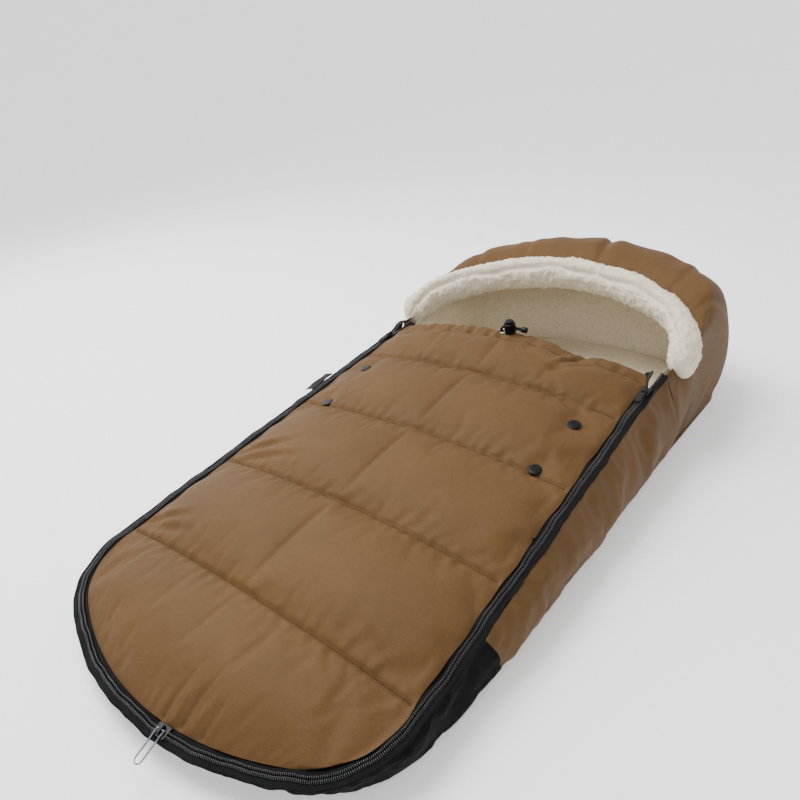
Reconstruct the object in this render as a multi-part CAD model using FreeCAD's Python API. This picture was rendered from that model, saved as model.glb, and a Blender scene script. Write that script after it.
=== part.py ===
"""Padded winter footmuff (bunting bag) for a pushchair, built as its sewn and fitted pieces.

Frame: +X to the right as seen from the foot end, +Y from the foot to the hood, +Z up. Left is the -X side. The origin is on the floor under the middle of the bag. All sizes are in millimetres.

The bag lies on its back. A flat padded back carries a padded wall, which rises from the foot to the neck.
A quilted cover closes the bag, and two zips join it to the wall, one down each side, meeting at the foot.
A raised hood with a thick pile rim stands over the head end.
"""

import FreeCAD, Part
import math
import os

from FreeCAD import Matrix, Placement, Rotation, Vector

os.makedirs("parts", exist_ok=True)

# ---------------------------------------------------------------- driving sizes
# Zip line, measured along the sloping cover
zip_length = 700.0
zip_half_width = 243.0
zip_neck_half_width = 218.0
toe_radius = 430.0
toe_corner_radius = 105.0
zip_height_toe = 30.0
zip_height_neck = 135.0

# Hood
hood_straight = 198.0
hood_round = 124.0
hood_half_width = 244.0
hood_height = 236.0
hood_widest_height = 110.0
hood_tuck_height = 300.0
hood_split_height = 104.0

# Layers of the sewn walls
fabric = 1.2
wadding = 9.0
pile = 5.0
wall_bulge = 24.0
wall_toe_tuck = 13.0
wall_foot_offset = 8.0
wall_top_wadding = 3.0
wall_top_pile = 2.0
foot_panel_length = 228.0
# The underside's seam lies nearer the toe, clear of the crotch strap's slot.
foot_base_length = 200.0

# Cover
cover_crown = 26.0
cover_edge_height = 4.0
cover_wadding = 10.0
cover_pile = 4.0
toe_seam = 150.0
toe_rise = [(-5.0, 0.02), (25.0, 0.36), (60.0, 0.68), (105.0, 0.93), (toe_seam, 1.0)]
snap_row_gap = 90.0
snap_row_lower = 460.0
hem_width = 24.0
hem_thickness = 12.0
body_gap = 0.3
hinge_rise = 3.0

# Zips
tape_reach = 14.0
tape_thickness = 0.8
coil_gap = 1.4
coil_width = 2.5
coil_under = 1.2
coil_over = 1.6

# Zip sliders
slider_width = 12.5
slider_length = 17.0
slider_plate = 1.4
slider_over = 2.4
slider_under = 1.8
slider_flange = 1.0
slider_post = 0.9
bridge_width = 3.0
bridge_length = 9.0
bridge_height = 3.8
pull_bar_radius = 1.0
pull_bar_clearance = 0.3
pull_length = 26.0
pull_width = 7.0
pull_thickness = 1.6
loop_length = 34.0
loop_droop = 8.0
loop_width = 9.0
loop_wire_radius = 0.8
side_slider_at = 655.0
toe_slider_angle = 6.0

# Press studs
snap_radius = 7.5
snap_height = 2.2
snap_post_radius = 2.0
snap_post_clearance = 0.2
snap_socket_radius = 6.5
snap_socket_height = 3.5
snap_half_spacing = 177.0

# Drawcord, its lock and its eyelet
cord_radius = 1.3
cord_channel_clearance = 1.0
cord_strand_gap = 0.6
eyelet_length = 12.0
eyelet_width = 7.0
eyelet_rim = 2.5
eyelet_thickness = 0.8
lock_radius = 8.5
lock_height = 16.0
lock_wall = 2.2
lock_floor = 2.0
lock_clearance = 0.3
lock_cord_height = 9.5
plunger_rise = 4.0
plunger_travel = 3.0
cord_hole_clearance = 0.4
cord_end_radius = 4.2
cord_end_length = 9.0
eyelet_to_lock = 15.0
lock_to_end = 20.0

# Hood rim roll
rim_half_span = 234.0
rim_rise = 150.0
rim_lean = 20.0
rim_radial = 17.0
rim_across = 25.0
rim_core_inset = 6.0
rim_behind_neck = 34.0
rim_clearance = 0.5
rim_overrun = 0.12

# Harness slots: centre x, centre y from the toe, width, length
slot_width = 16.0
harness_slots = [
    (-60.0, 600.0, 120.0),
    (60.0, 600.0, 120.0),
    (-120.0, 330.0, 60.0),
    (120.0, 330.0, 60.0),
    (0.0, 250.0, 70.0),
]
binding_rim = 6.0
binding_thickness = 0.8

# Side label
label_length = 46.0
label_reach = 20.0
label_thickness = 1.0
label_at = 483.0
label_tilt = 35.0

# ---------------------------------------------------------------- derived sizes
pitch = math.degrees(math.asin((zip_height_neck - zip_height_toe) / zip_length))
neck_y = zip_length * math.cos(math.radians(pitch))
hood_centre_y = neck_y + hood_straight
head_end_y = hood_centre_y + hood_round
# The frame's origin lies this far along from the middle of the toe zip, a little headward of halfway.
middle_y = 516.04
cover_outline = -tape_reach
cover_half_width = zip_half_width - tape_reach
crown_radius = (cover_half_width**2 + cover_crown**2) / (2 * cover_crown)
cover_thickness = fabric + cover_wadding + cover_pile
hinge_height = cover_edge_height + cover_crown + hinge_rise
snap_row_upper = snap_row_lower + snap_row_gap
flap_seam = snap_row_lower + snap_row_gap / 2
hem_start = zip_length - body_gap - hem_width
back_top = fabric + wadding + pile
rim_axis_y = neck_y + rim_behind_neck
rim_axis_z = zip_height_neck + rim_radial * 0.2
far = 2000.0


def save_node(shape, node):
    """Write one sub-part, moved so that the origin lies under the middle of the bag."""
    out = shape.copy()
    out.translate(Vector(0, -middle_y, 0))
    out.exportStep(os.path.join("parts", node + ".step"))


def on_cover(shape):
    """Carry a shape from the cover's own flat frame to its sloping place."""
    out = shape.copy()
    out.Placement = Placement(
        Vector(0, 0, zip_height_toe), Rotation(Vector(1, 0, 0), pitch)
    ).multiply(out.Placement)
    return out


def fuse_all(shapes):
    """Fuse a list of solids into one."""
    out = shapes[0]
    for shape in shapes[1:]:
        out = out.fuse(shape)
    return out.removeSplitter()


def box(x0, x1, y0, y1, z0, z1):
    """A box between two corners."""
    return Part.makeBox(x1 - x0, y1 - y0, z1 - z0, Vector(x0, y0, z0))


# ---------------------------------------------------------------- outlines
def side_line(offset):
    """Corner centre, corner radius and end angle of the outline's right side, for an offset outwards."""
    corner_x = zip_half_width - toe_corner_radius
    reach = toe_radius - toe_corner_radius
    corner_y = toe_radius - math.sqrt(reach**2 - corner_x**2)
    angle = 0.0
    for _ in range(20):
        end_x = corner_x + toe_corner_radius * math.cos(angle)
        end_y = corner_y + toe_corner_radius * math.sin(angle)
        angle = math.atan((end_x - zip_neck_half_width) / (zip_length - end_y))
    return corner_x, corner_y, toe_corner_radius + offset, angle


def outline(offset, end_y, tuck=0.0):
    """Closed U-shaped wire in the XY plane: toe arc, two corner arcs, two straight sides, and a line across.

    The tuck draws the whole outline towards the head, so the toe is drawn in under the zip.
    """
    corner_x, corner_y, radius, angle = side_line(offset)
    start = Vector(
        corner_x + radius * math.cos(angle), corner_y + radius * math.sin(angle), 0
    )
    top = Vector(start.x - (end_y - tuck - start.y) * math.tan(angle), end_y - tuck, 0)
    mid_angle = (angle - math.pi / 2 + math.asin(corner_x / (toe_radius - toe_corner_radius))) / 2
    mid = Vector(
        corner_x + radius * math.cos(mid_angle), corner_y + radius * math.sin(mid_angle), 0
    )
    toe_half = math.asin(corner_x / (toe_radius - toe_corner_radius))
    toe_r = toe_radius + offset
    toe_end = Vector(toe_r * math.sin(toe_half), toe_radius - toe_r * math.cos(toe_half), 0)
    toe_mid = Vector(0, toe_radius - toe_r, 0)

    def mirrored(point):
        return Vector(-point.x, point.y, 0)

    edges = [
        Part.LineSegment(top, start).toShape(),
        Part.Arc(start, mid, toe_end).toShape(),
        Part.Arc(toe_end, toe_mid, mirrored(toe_end)).toShape(),
        Part.Arc(mirrored(toe_end), mirrored(mid), mirrored(start)).toShape(),
        Part.LineSegment(mirrored(start), mirrored(top)).toShape(),
        Part.LineSegment(mirrored(top), top).toShape(),
    ]
    wire = Part.Wire(edges)
    wire.translate(Vector(0, tuck, 0))
    return wire


def prism(offset, end_y, z0, z1):
    """The outline extruded in its own flat frame."""
    face = Part.Face(outline(offset, end_y))
    face.translate(Vector(0, 0, z0))
    return face.extrude(Vector(0, 0, z1 - z0))


def hood_share(inset, height):
    """How far the hood has drawn in at a height, as a share of its widest."""
    return math.sqrt(1 - ((hood_widest_height - height) / (hood_tuck_height - inset)) ** 2)


def back_slab(offset, inset, z0, z1):
    """Flat slab of the back: the U-shaped outline, straight on past the neck, with a rounded head."""
    body = Part.Face(outline(offset, neck_y + 1.0, wall_toe_tuck))
    body = body.extrude(Vector(0, 0, z1 - z0))
    body.translate(Vector(0, 0, z0))
    share = hood_share(inset, z0)
    rx = (hood_half_width - inset) * share - (body_gap if inset else 0)
    ry = (hood_round - inset) * share - (body_gap if inset else 0)
    head = Part.Face(Part.Wire([Part.Ellipse(Vector(0, 0, 0), rx, ry).toShape()]))
    head = head.extrude(Vector(0, 0, z1 - z0))
    head.translate(Vector(0, hood_centre_y, z0))
    head = head.common(box(-far, far, hood_centre_y, far, -1, far))
    for sign in (-1, 1):
        side = sorted((sign * rx, sign * far))
        body = body.cut(box(*side, neck_y - body_gap, far, -1, far))
    return fuse_all([body, box(-rx, rx, neck_y, hood_centre_y, z0, z1), head])


# ---------------------------------------------------------------- back
def slab(offset, inset, z0, z1):
    """A flat layer of the back with the harness slots cut through."""
    layer = back_slab(offset, inset, z0, z1)
    for x, y, length in harness_slots:
        layer = layer.cut(slot_box(x, y, length, 0, z0 - 1, z1 + 1))
    return layer


def slot_box(x, y, length, grow, z0, z1):
    """The space of one harness slot, grown on its four sides."""
    return box(
        x - slot_width / 2 - grow,
        x + slot_width / 2 + grow,
        y - length / 2 - grow,
        y + length / 2 + grow,
        z0,
        z1,
    )


def build_back():
    """The outer skin in two colours, the wadding, the pile lining and the slot bindings."""
    skin = slab(wall_foot_offset, 0, 0, fabric)
    front = box(-far, far, -far, foot_base_length, -1, far)
    save_node(skin.common(front), "foot_base")
    save_node(skin.cut(front), "back_panel")
    inner = wall_levels()[3][0] - 4 * body_gap
    save_node(slab(inner, back_top, fabric, fabric + wadding), "back_wadding")
    save_node(slab(inner, back_top, fabric + wadding, back_top), "back_lining")
    rings = []
    for x, y, length in harness_slots:
        ring = slot_box(x, y, length, binding_rim, back_top, back_top + binding_thickness)
        rings.append(ring.cut(slot_box(x, y, length, 0, 0, far)))
    save_node(Part.makeCompound(rings), "slot_bindings")


# ---------------------------------------------------------------- side wall
def wall_levels():
    """Offsets of the wall's four surfaces at its foot, middle and top, from outside to inside."""
    foot, mid, top = wall_foot_offset, wall_bulge, tape_reach
    return [
        (foot, mid, top),
        (foot - fabric, mid - fabric, top - fabric),
        (foot - fabric - wadding * 0.75, mid - fabric - wadding, top - fabric - wall_top_wadding),
        (
            foot - fabric - wadding * 0.75 - pile * 0.8,
            mid - fabric - wadding - pile,
            top - fabric - wall_top_wadding - wall_top_pile,
        ),
    ]


def wall_solid(level, end_y):
    """The filled wedge inside one surface of the wall, from the back skin up to the zip."""
    wires = []
    for share, offset in zip((0.0, 0.5, 1.0), level):
        wire = outline(offset, end_y, wall_toe_tuck * (1 - share**3))
        height = fabric + (zip_height_toe - fabric) * share
        wire.Placement = Placement(
            Vector(0, 0, height), Rotation(Vector(1, 0, 0), pitch * share)
        )
        wires.append(wire)
    return Part.makeLoft(wires, True, False)


def build_wall():
    """Foot panel, two side panels, wadding and pile of the padded wall."""
    levels = wall_levels()
    fills = [wall_solid(level, zip_length + 20 * i) for i, level in enumerate(levels)]
    neck_cut = box(-far, far, neck_y - 1, far, -far, far)
    shells = [fills[i].cut(fills[i + 1]).cut(neck_cut) for i in range(3)]
    front = box(-far, far, -far, foot_panel_length, -far, far)
    left = box(-far, 0, foot_panel_length, far, -far, far)
    right = box(0, far, foot_panel_length, far, -far, far)
    save_node(shells[0].common(front), "foot_panel")
    save_node(shells[0].common(left), "side_panel_left")
    save_node(shells[0].common(right), "side_panel_right")
    save_node(shells[1], "wall_wadding")
    save_node(shells[2], "wall_lining")


# ---------------------------------------------------------------- hood
def hood_half(height, inset, up):
    """Upper or lower half of the hood's form: an elliptical tunnel closed by a quarter of an ellipsoid."""
    scale = Matrix()
    wide = (hood_half_width - inset) / 100.0
    tall = (height - inset) / 100.0
    scale.scale(wide, (hood_round - inset) / 100.0, tall)
    low, high = (hood_widest_height, far) if up else (0.0, hood_widest_height)
    end = Part.makeSphere(100.0).transformGeometry(scale)
    end.translate(Vector(0, hood_centre_y, hood_widest_height))
    end = end.common(box(-far, far, hood_centre_y, far, low, high))
    scale = Matrix()
    scale.scale(wide, 1.0, tall)
    tunnel = Part.makeCylinder(100.0, hood_straight, Vector(0, 0, 0), Vector(0, 1, 0))
    tunnel = tunnel.transformGeometry(scale)
    tunnel.translate(Vector(0, neck_y, hood_widest_height))
    tunnel = tunnel.common(box(-far, far, -far, far, low, high))
    return fuse_all([end, tunnel])


def hood_opening():
    """The space above the wearer's head, open to the sky inside the rim."""
    depth = rim_rise * math.cos(math.radians(rim_lean))
    oval = Part.Face(Part.Wire([Part.Ellipse(Vector(0, 0, 0), rim_half_span, depth).toShape()]))
    oval = oval.extrude(Vector(0, 0, far))
    oval.translate(Vector(0, rim_axis_y, 0))
    return oval


def rim_path():
    """The arch that the rim roll follows, in the leaning plane."""
    ellipse = Part.Ellipse(Vector(0, 0, 0), rim_half_span, rim_rise)
    arc = Part.ArcOfEllipse(ellipse, -rim_overrun, math.pi + rim_overrun)
    return Part.Wire([arc.toShape()])


def rim_roll(grow):
    """The roll round the hood's front edge, with its section grown by an amount."""
    across, radial = rim_across + grow, rim_radial + grow
    path = rim_path()
    start = path.Edges[0].valueAt(path.Edges[0].FirstParameter)
    tangent = path.Edges[0].tangentAt(path.Edges[0].FirstParameter)
    section = Part.Wire([Part.Ellipse(Vector(0, 0, 0), across, radial).toShape()])
    section.rotate(Vector(0, 0, 0), Vector(0, 1, 0), 90)
    section.rotate(Vector(0, 0, 0), Vector(0, 0, 1), math.degrees(math.atan2(tangent.y, tangent.x)))
    section.translate(start)
    roll = path.makePipeShell([section], True, True)
    roll.rotate(Vector(0, 0, 0), Vector(1, 0, 0), rim_lean)
    roll.translate(Vector(0, rim_axis_y, rim_axis_z))
    return roll


def build_hood():
    """Lower head wall, canopy above it, each in three layers, and the rim roll with its core."""
    shells = []
    insets = [0, fabric, fabric + wadding, fabric + wadding + pile]
    rise_up = hood_height - hood_widest_height
    uppers = [hood_half(rise_up, inset, True) for inset in insets]
    lowers = [hood_half(hood_tuck_height, inset, False) for inset in insets]
    for i in range(3):
        shells.append((lowers[i].cut(lowers[i + 1]), uppers[i].cut(uppers[i + 1])))
    wall_zone = box(-far, far, neck_y, far, fabric, hood_split_height)
    low = hood_split_height + body_gap
    canopy_zone = box(-far, far, rim_axis_y, far, low, far).cut(hood_opening())
    clear = rim_roll(rim_clearance)
    names = ["", "_wadding", "_lining"]
    for (lower, upper), name in zip(shells, names):
        save_node(lower.common(wall_zone), "head_wall" + name)
        canopy = fuse_all([lower.common(canopy_zone), upper.common(canopy_zone)])
        save_node(canopy.cut(clear), "hood_canopy" + name)
    roll, core = rim_roll(0), rim_roll(-rim_core_inset)
    save_node(roll.cut(core), "hood_rim")
    save_node(core, "hood_rim_core")


# ---------------------------------------------------------------- cover
def crown_band(top, bottom, y0, y1):
    """A layer that is arched across its width, between two heights above the zip plane at its edge."""
    centre = cover_edge_height + cover_crown - crown_radius
    outer = Part.makeCylinder(crown_radius + top, y1 - y0, Vector(0, y0, centre), Vector(0, 1, 0))
    inner = Part.makeCylinder(crown_radius + bottom, y1 - y0, Vector(0, y0, centre), Vector(0, 1, 0))
    zone = box(-zip_half_width, zip_half_width, y0, y1, -far, far)
    return outer.cut(inner).common(zone).common(box(-far, far, -far, far, -80, far))


def toe_dome(depth):
    """The filled space under the toe stretch, which comes down to the zip at the foot, less a depth."""
    wires = []
    for y, share in toe_rise:
        half = zip_half_width
        side = cover_edge_height - depth - share * (crown_height(0) - crown_height(half)) * 0.35
        top = cover_edge_height - depth + share * cover_crown
        if share == 1.0:
            side = crown_height(half) - depth
        arch = Part.Arc(Vector(-half, y, side), Vector(0, y, top), Vector(half, y, side)).toShape()
        corners = [Vector(half, y, side), Vector(half, y, -80), Vector(-half, y, -80), Vector(-half, y, side)]
        lines = [Part.LineSegment(a, b).toShape() for a, b in zip(corners, corners[1:])]
        wires.append(Part.Wire([arch] + lines))
    return Part.makeLoft(wires, True, False)


def crown_height(x, depth=0.0):
    """Height of the cover's outer surface above the zip plane, less a depth."""
    return cover_edge_height + cover_crown - crown_radius + math.sqrt((crown_radius - depth) ** 2 - x * x)


def crown_tilt(x):
    """Slope of the cover's outer surface across its width, in degrees."""
    return math.degrees(math.asin(x / crown_radius))


def quilt_layers(y0, y1, studs):
    """Outer fabric, wadding and lining of one stretch of the cover, with stud holes."""
    plan = prism(cover_outline, zip_length - body_gap, -60, 60)
    depths = [0, fabric, fabric + cover_wadding, cover_thickness]
    layers = []
    for i in range(3):
        if y1 == toe_seam:
            band = toe_dome(depths[i]).cut(toe_dome(depths[i + 1]))
        else:
            band = crown_band(-depths[i], -depths[i + 1], y0, y1)
        layer = band.common(plan)
        for x, y in studs:
            layer = layer.cut(stud_post(x, y, snap_post_radius + snap_post_clearance, 10))
        layers.append(layer)
    return layers


def build_cover():
    """The cover's three stretches: sewn-in toe, main cover and fold-down flap."""
    lower = [(-snap_half_spacing, snap_row_lower), (snap_half_spacing, snap_row_lower)]
    upper = [(-snap_half_spacing, snap_row_upper), (snap_half_spacing, snap_row_upper)]
    stretches = [
        ("toe", -10.0, toe_seam, []),
        ("cover", toe_seam + body_gap, flap_seam, lower),
        ("flap", flap_seam + body_gap, hem_start, upper),
    ]
    for name, y0, y1, studs in stretches:
        layers = quilt_layers(y0, y1, studs)
        for layer, kind in zip(layers, ["quilt", "wadding", "lining"]):
            save_node(on_cover(layer), name + "_" + kind)
    build_studs(lower, "lower")
    build_studs(upper, "upper")
    build_hem()


def at_surface(shape, x, y, depth=0.0):
    """Stand a shape made at the origin on the cover's outer surface, square to it."""
    out = shape.copy()
    out.rotate(Vector(0, 0, 0), Vector(0, 1, 0), crown_tilt(x))
    out.translate(Vector(x, y, crown_height(x, depth)))
    return out


def stud_post(x, y, radius, extra):
    """The post of a press stud, through all the layers."""
    length = cover_thickness + 2 * extra
    post = Part.makeCylinder(radius, length, Vector(0, 0, extra - length), Vector(0, 0, 1))
    return at_surface(post, x, y)


def build_studs(places, row):
    """Cap with its post on the outside, and the socket pressed on to it inside."""
    caps, sockets = [], []
    for x, y in places:
        disc = Part.makeCylinder(snap_radius, snap_height, Vector(0, 0, 0.05))
        disc = disc.makeFillet(0.8, [disc.Edges[0]])
        post = Part.makeCylinder(
            snap_post_radius,
            cover_thickness + snap_socket_height / 2 + 0.2,
            Vector(0, 0, -cover_thickness - snap_socket_height / 2),
        )
        caps.append(at_surface(disc.fuse(post), x, y))
        socket = Part.makeCylinder(
            snap_socket_radius, snap_socket_height, Vector(0, 0, -cover_thickness - snap_socket_height - 0.1)
        )
        well = Part.makeCylinder(
            snap_post_radius + 0.05, far, Vector(0, 0, -cover_thickness - snap_socket_height / 2 - 0.1)
        )
        sockets.append(at_surface(socket.cut(well), x, y))
    save_node(on_cover(Part.makeCompound(caps)), row + "_stud_caps")
    save_node(on_cover(Part.makeCompound(sockets)), row + "_stud_sockets")


# ---------------------------------------------------------------- drawcord
def channel_depth():
    """Depth of the cord channel's centre below the hem's outer surface."""
    return hem_thickness / 2


def channel_tube(radius, x0, x1):
    """A tube that follows the cover's arch from x0 to x1, at the channel's depth."""
    depth = channel_depth()
    y = hem_start + hem_width / 2
    points = [Vector(x, y, crown_height(x, depth)) for x in (x0, (x0 + x1) / 2, x1)]
    path = Part.Wire([Part.Arc(*points).toShape()])
    tangent = path.Edges[0].tangentAt(path.Edges[0].FirstParameter)
    ring = Part.Wire([Part.makeCircle(radius, points[0], tangent)])
    return path.makePipeShell([ring], True, True)


def eyelet_x():
    """Centre of the buttonhole, beside the cord lock."""
    return -eyelet_to_lock


def rounded_slot(length, width, z0, z1):
    """A slot-shaped plug along X, centred on the origin."""
    r = width / 2
    half = length / 2 - r
    plug = box(-half, half, -r, r, z0, z1)
    for x in (-half, half):
        plug = plug.fuse(Part.makeCylinder(r, z1 - z0, Vector(x, 0, z0)))
    return plug.removeSplitter()


def build_hem():
    """Hem with its channel, buttonhole, eyelet, the drawcord and the spring-loaded cord lock."""
    y = hem_start + hem_width / 2
    plan = prism(cover_outline, zip_length - body_gap, -60, 60)
    reach = zip_neck_half_width - tape_reach + 2
    hem = crown_band(0, -hem_thickness, hem_start, zip_length - body_gap).common(plan)
    hem = hem.cut(channel_tube(cord_radius + cord_channel_clearance, -reach - 40, reach + 40))
    hole = at_surface(rounded_slot(eyelet_length, eyelet_width, -channel_depth(), 5), eyelet_x(), y)
    save_node(on_cover(hem.cut(hole)), "cover_hem")
    ring = rounded_slot(
        eyelet_length + 2 * eyelet_rim, eyelet_width + 2 * eyelet_rim, 0.05, eyelet_thickness
    ).cut(rounded_slot(eyelet_length, eyelet_width, -1, 5))
    save_node(on_cover(at_surface(ring, eyelet_x(), y)), "drawcord_eyelet")
    runs = [
        channel_tube(cord_radius, -reach + 6, eyelet_x() - 1.0),
        channel_tube(cord_radius, eyelet_x() + 1.0, reach - 6),
    ]
    save_node(on_cover(Part.makeCompound(runs)), "drawcord")
    build_cord_tail(y)
    build_cord_lock(y)


def strand(y, side):
    """One strand of the cord's tail: up out of the buttonhole, then level through the lock to the cord end."""
    surface = crown_height(0)
    level = surface + lock_cord_height
    bend = lock_cord_height - 1.0
    x0 = eyelet_x() - 1.0
    offset = side * (cord_radius + cord_strand_gap / 2)
    start = Vector(x0, y + offset, level - bend - 3.0)
    knee = Vector(x0, y + offset, level - bend)
    middle = Vector(
        x0 + bend * (1 - math.cos(math.pi / 4)),
        y + offset,
        level - bend + bend * math.sin(math.pi / 4),
    )
    flat = Vector(x0 + bend, y + offset, level)
    end = Vector(lock_to_end, y + offset, level)
    path = Part.Wire(
        [
            Part.LineSegment(start, knee).toShape(),
            Part.Arc(knee, middle, flat).toShape(),
            Part.LineSegment(flat, end).toShape(),
        ]
    )
    ring = Part.Wire([Part.makeCircle(cord_radius, start, Vector(0, 0, 1))])
    return path.makePipeShell([ring], True, True)


def build_cord_tail(y):
    """Two strands side by side and the moulded end that clamps them."""
    strands = [strand(y, side) for side in (-1, 1)]
    save_node(on_cover(Part.makeCompound(strands)), "drawcord_tail")
    level = crown_height(0) + lock_cord_height
    end = Part.makeCylinder(cord_end_radius, cord_end_length, Vector(lock_to_end, y, level), Vector(1, 0, 0))
    end = end.makeFillet(1.6, [end.Edges[0], end.Edges[2]])
    save_node(on_cover(end), "cord_end")


def cord_hole(y, width, height, level):
    """The cross hole that both strands pass through."""
    return box(-far, far, y - width / 2, y + width / 2, level - height / 2, level + height / 2)


def build_cord_lock(y):
    """Barrel with a blind well, the plunger in it and the spring under the plunger."""
    base = crown_height(0) + eyelet_thickness + body_gap
    level = crown_height(0) + lock_cord_height
    well_radius = lock_radius - lock_wall
    hole_width = 4 * cord_radius + cord_strand_gap + 2 * cord_hole_clearance
    hole_height = 2 * cord_radius + 2 * cord_hole_clearance
    barrel = Part.makeCylinder(lock_radius, lock_height, Vector(0, y, base))
    barrel = barrel.makeFillet(1.5, [barrel.Edges[0], barrel.Edges[2]])
    well = Part.makeCylinder(well_radius, lock_height, Vector(0, y, base + lock_floor))
    barrel = barrel.cut(well).cut(cord_hole(y, hole_width, hole_height, level))
    save_node(on_cover(barrel), "cord_lock_body")
    plunger_radius = well_radius - lock_clearance
    bottom = level - hole_height / 2 - 0.6
    plunger = Part.makeCylinder(plunger_radius, base + lock_height + plunger_rise - bottom, Vector(0, y, bottom))
    plunger = plunger.makeFillet(1.5, [plunger.Edges[0]])
    window = hole_height + plunger_travel
    plunger = plunger.cut(cord_hole(y, hole_width, window, level + plunger_travel / 2))
    prongs = plunger.Solids
    save_node(on_cover(prongs[0] if len(prongs) == 1 else Part.makeCompound(prongs)), "cord_lock_plunger")
    spring_base = base + lock_floor + 0.1
    spring = Part.makeCylinder(plunger_radius - 1.5, bottom - spring_base - 0.1, Vector(0, y, spring_base))
    spring = spring.cut(Part.makeCylinder(plunger_radius - 2.5, far, Vector(0, y, 0)))
    save_node(on_cover(spring), "cord_lock_spring")


# ---------------------------------------------------------------- zips
def zip_stringer(sign, y0, y1, side):
    """One tape with its coil, between two places along the cover, on one side of the middle."""
    half_gap = coil_gap / 2
    near, far_edge = half_gap + coil_width, tape_reach
    end_y = zip_length - body_gap
    if sign > 0:
        tape = prism(far_edge, end_y, 0, tape_thickness).cut(prism(near, end_y + 50, -1, 5))
        coil = prism(near, end_y, -coil_under, coil_over).cut(prism(half_gap, end_y + 50, -5, 5))
    else:
        tape = prism(-near, end_y, 0, tape_thickness).cut(prism(-far_edge, end_y + 50, -1, 5))
        coil = prism(-half_gap, end_y, -coil_under, coil_over).cut(prism(-near, end_y + 50, -5, 5))
    x0, x1 = (body_gap / 2, far) if side > 0 else (-far, -body_gap / 2)
    half = box(x0, x1, -far, toe_radius, -far, far)
    half.rotate(Vector(0, toe_radius, 0), Vector(0, 0, 1), toe_slider_angle)
    half = half.common(box(-far, far, -far, toe_radius - far * 0.1, -far, far))
    rest = box(x0, x1, toe_radius - far * 0.1, far, -far, far)
    zone = half.fuse(rest).common(box(-far, far, y0, y1, -far, far))
    return Part.makeCompound([tape.common(zone), coil.common(zone)])


def slider_at(y):
    """Point and heading of the right-hand zip at a distance along the cover."""
    corner_x, corner_y, radius, angle = side_line(0)
    start_x = corner_x + radius * math.cos(angle)
    start_y = corner_y + radius * math.sin(angle)
    return start_x - (y - start_y) * math.tan(angle), math.degrees(angle)


def slider_body(bridge_across):
    """A slider at the origin, heading along +Y, with its hole for the pull across or along the zip."""
    half_w, half_l = slider_width / 2, slider_length / 2
    top = box(-half_w, half_w, -half_l, half_l, slider_over, slider_over + slider_plate)
    bottom = box(-half_w, half_w, -half_l, half_l, -slider_under - slider_plate, -slider_under)
    parts = [top, bottom]
    for x in (-half_w, half_w - slider_flange):
        parts.append(box(x, x + slider_flange, -half_l, half_l, slider_over - 1.0, slider_over))
        parts.append(box(x, x + slider_flange, -half_l, half_l, -slider_under, -slider_under + 1.0))
    parts.append(
        box(-slider_post / 2, slider_post / 2, half_l - 5.0, half_l - 1.0, -slider_under, slider_over)
    )
    deck = slider_over + slider_plate
    across, along = bridge_width / 2, bridge_length / 2
    if not bridge_across:
        across, along = along, across
    bridge = box(-across, across, -along, along, deck, deck + bridge_height)
    axis = Vector(1, 0, 0) if bridge_across else Vector(0, 1, 0)
    centre = Vector(0, 0, deck + bridge_height / 2)
    hole = Part.makeCylinder(
        pull_bar_radius + pull_bar_clearance, 40, centre - axis * 20, axis
    )
    parts.append(bridge.cut(hole))
    return fuse_all(parts)


def tab_pull():
    """A flat tab on a cross bar, lying back along the closed zip."""
    z = slider_over + slider_plate + bridge_height / 2
    half = pull_width / 2
    bar = Part.makeCylinder(pull_bar_radius, pull_width, Vector(-half, 0, z), Vector(1, 0, 0))
    arm = half - bridge_width / 2 - 0.6
    parts = [bar]
    t = pull_thickness / 2
    for x in (-half, half - arm):
        parts.append(box(x, x + arm, -7.0, 0.0, z - t, z + t))
    tab = box(-half, half, -pull_length, -6.5, z - t, z + t)
    edges = [e for e in tab.Edges if abs(e.BoundBox.ZLength - pull_thickness) < 0.01]
    outer = [e for e in edges if e.BoundBox.YMin < -pull_length + 0.1]
    parts.append(tab.makeFillet(2.4, outer))
    return fuse_all(parts)


def wire_pull():
    """A bent wire loop on a bar that lies along the zip, hanging outwards over the foot."""
    z = slider_over + slider_plate + bridge_height / 2
    r = loop_wire_radius
    half = loop_width / 2
    parts = [Part.makeCylinder(r, loop_width, Vector(0, -half, z), Vector(0, 1, 0))]
    for y in (-half, half):
        parts.append(Part.makeSphere(r, Vector(0, y, z)))
        parts.append(
            Part.makeCylinder(r, loop_length - half, Vector(0, y, z), Vector(1, 0, 0))
        )
    bend = Part.makeTorus(half, r, Vector(loop_length - half, 0, z), Vector(0, 0, 1))
    parts.append(bend.common(box(loop_length - half, far, -far, far, -far, far)))
    loop = fuse_all(parts)
    loop.rotate(Vector(0, 0, z), Vector(0, 1, 0), loop_droop)
    return loop



def place_side(shape, side):
    """Set a slider piece on the left or right zip."""
    x, angle = slider_at(side_slider_at)
    out = shape.copy()
    out.rotate(Vector(0, 0, 0), Vector(0, 0, 1), angle)
    out.translate(Vector(x, side_slider_at, 0))
    return out if side > 0 else out.mirror(Vector(0, 0, 0), Vector(1, 0, 0))


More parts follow.
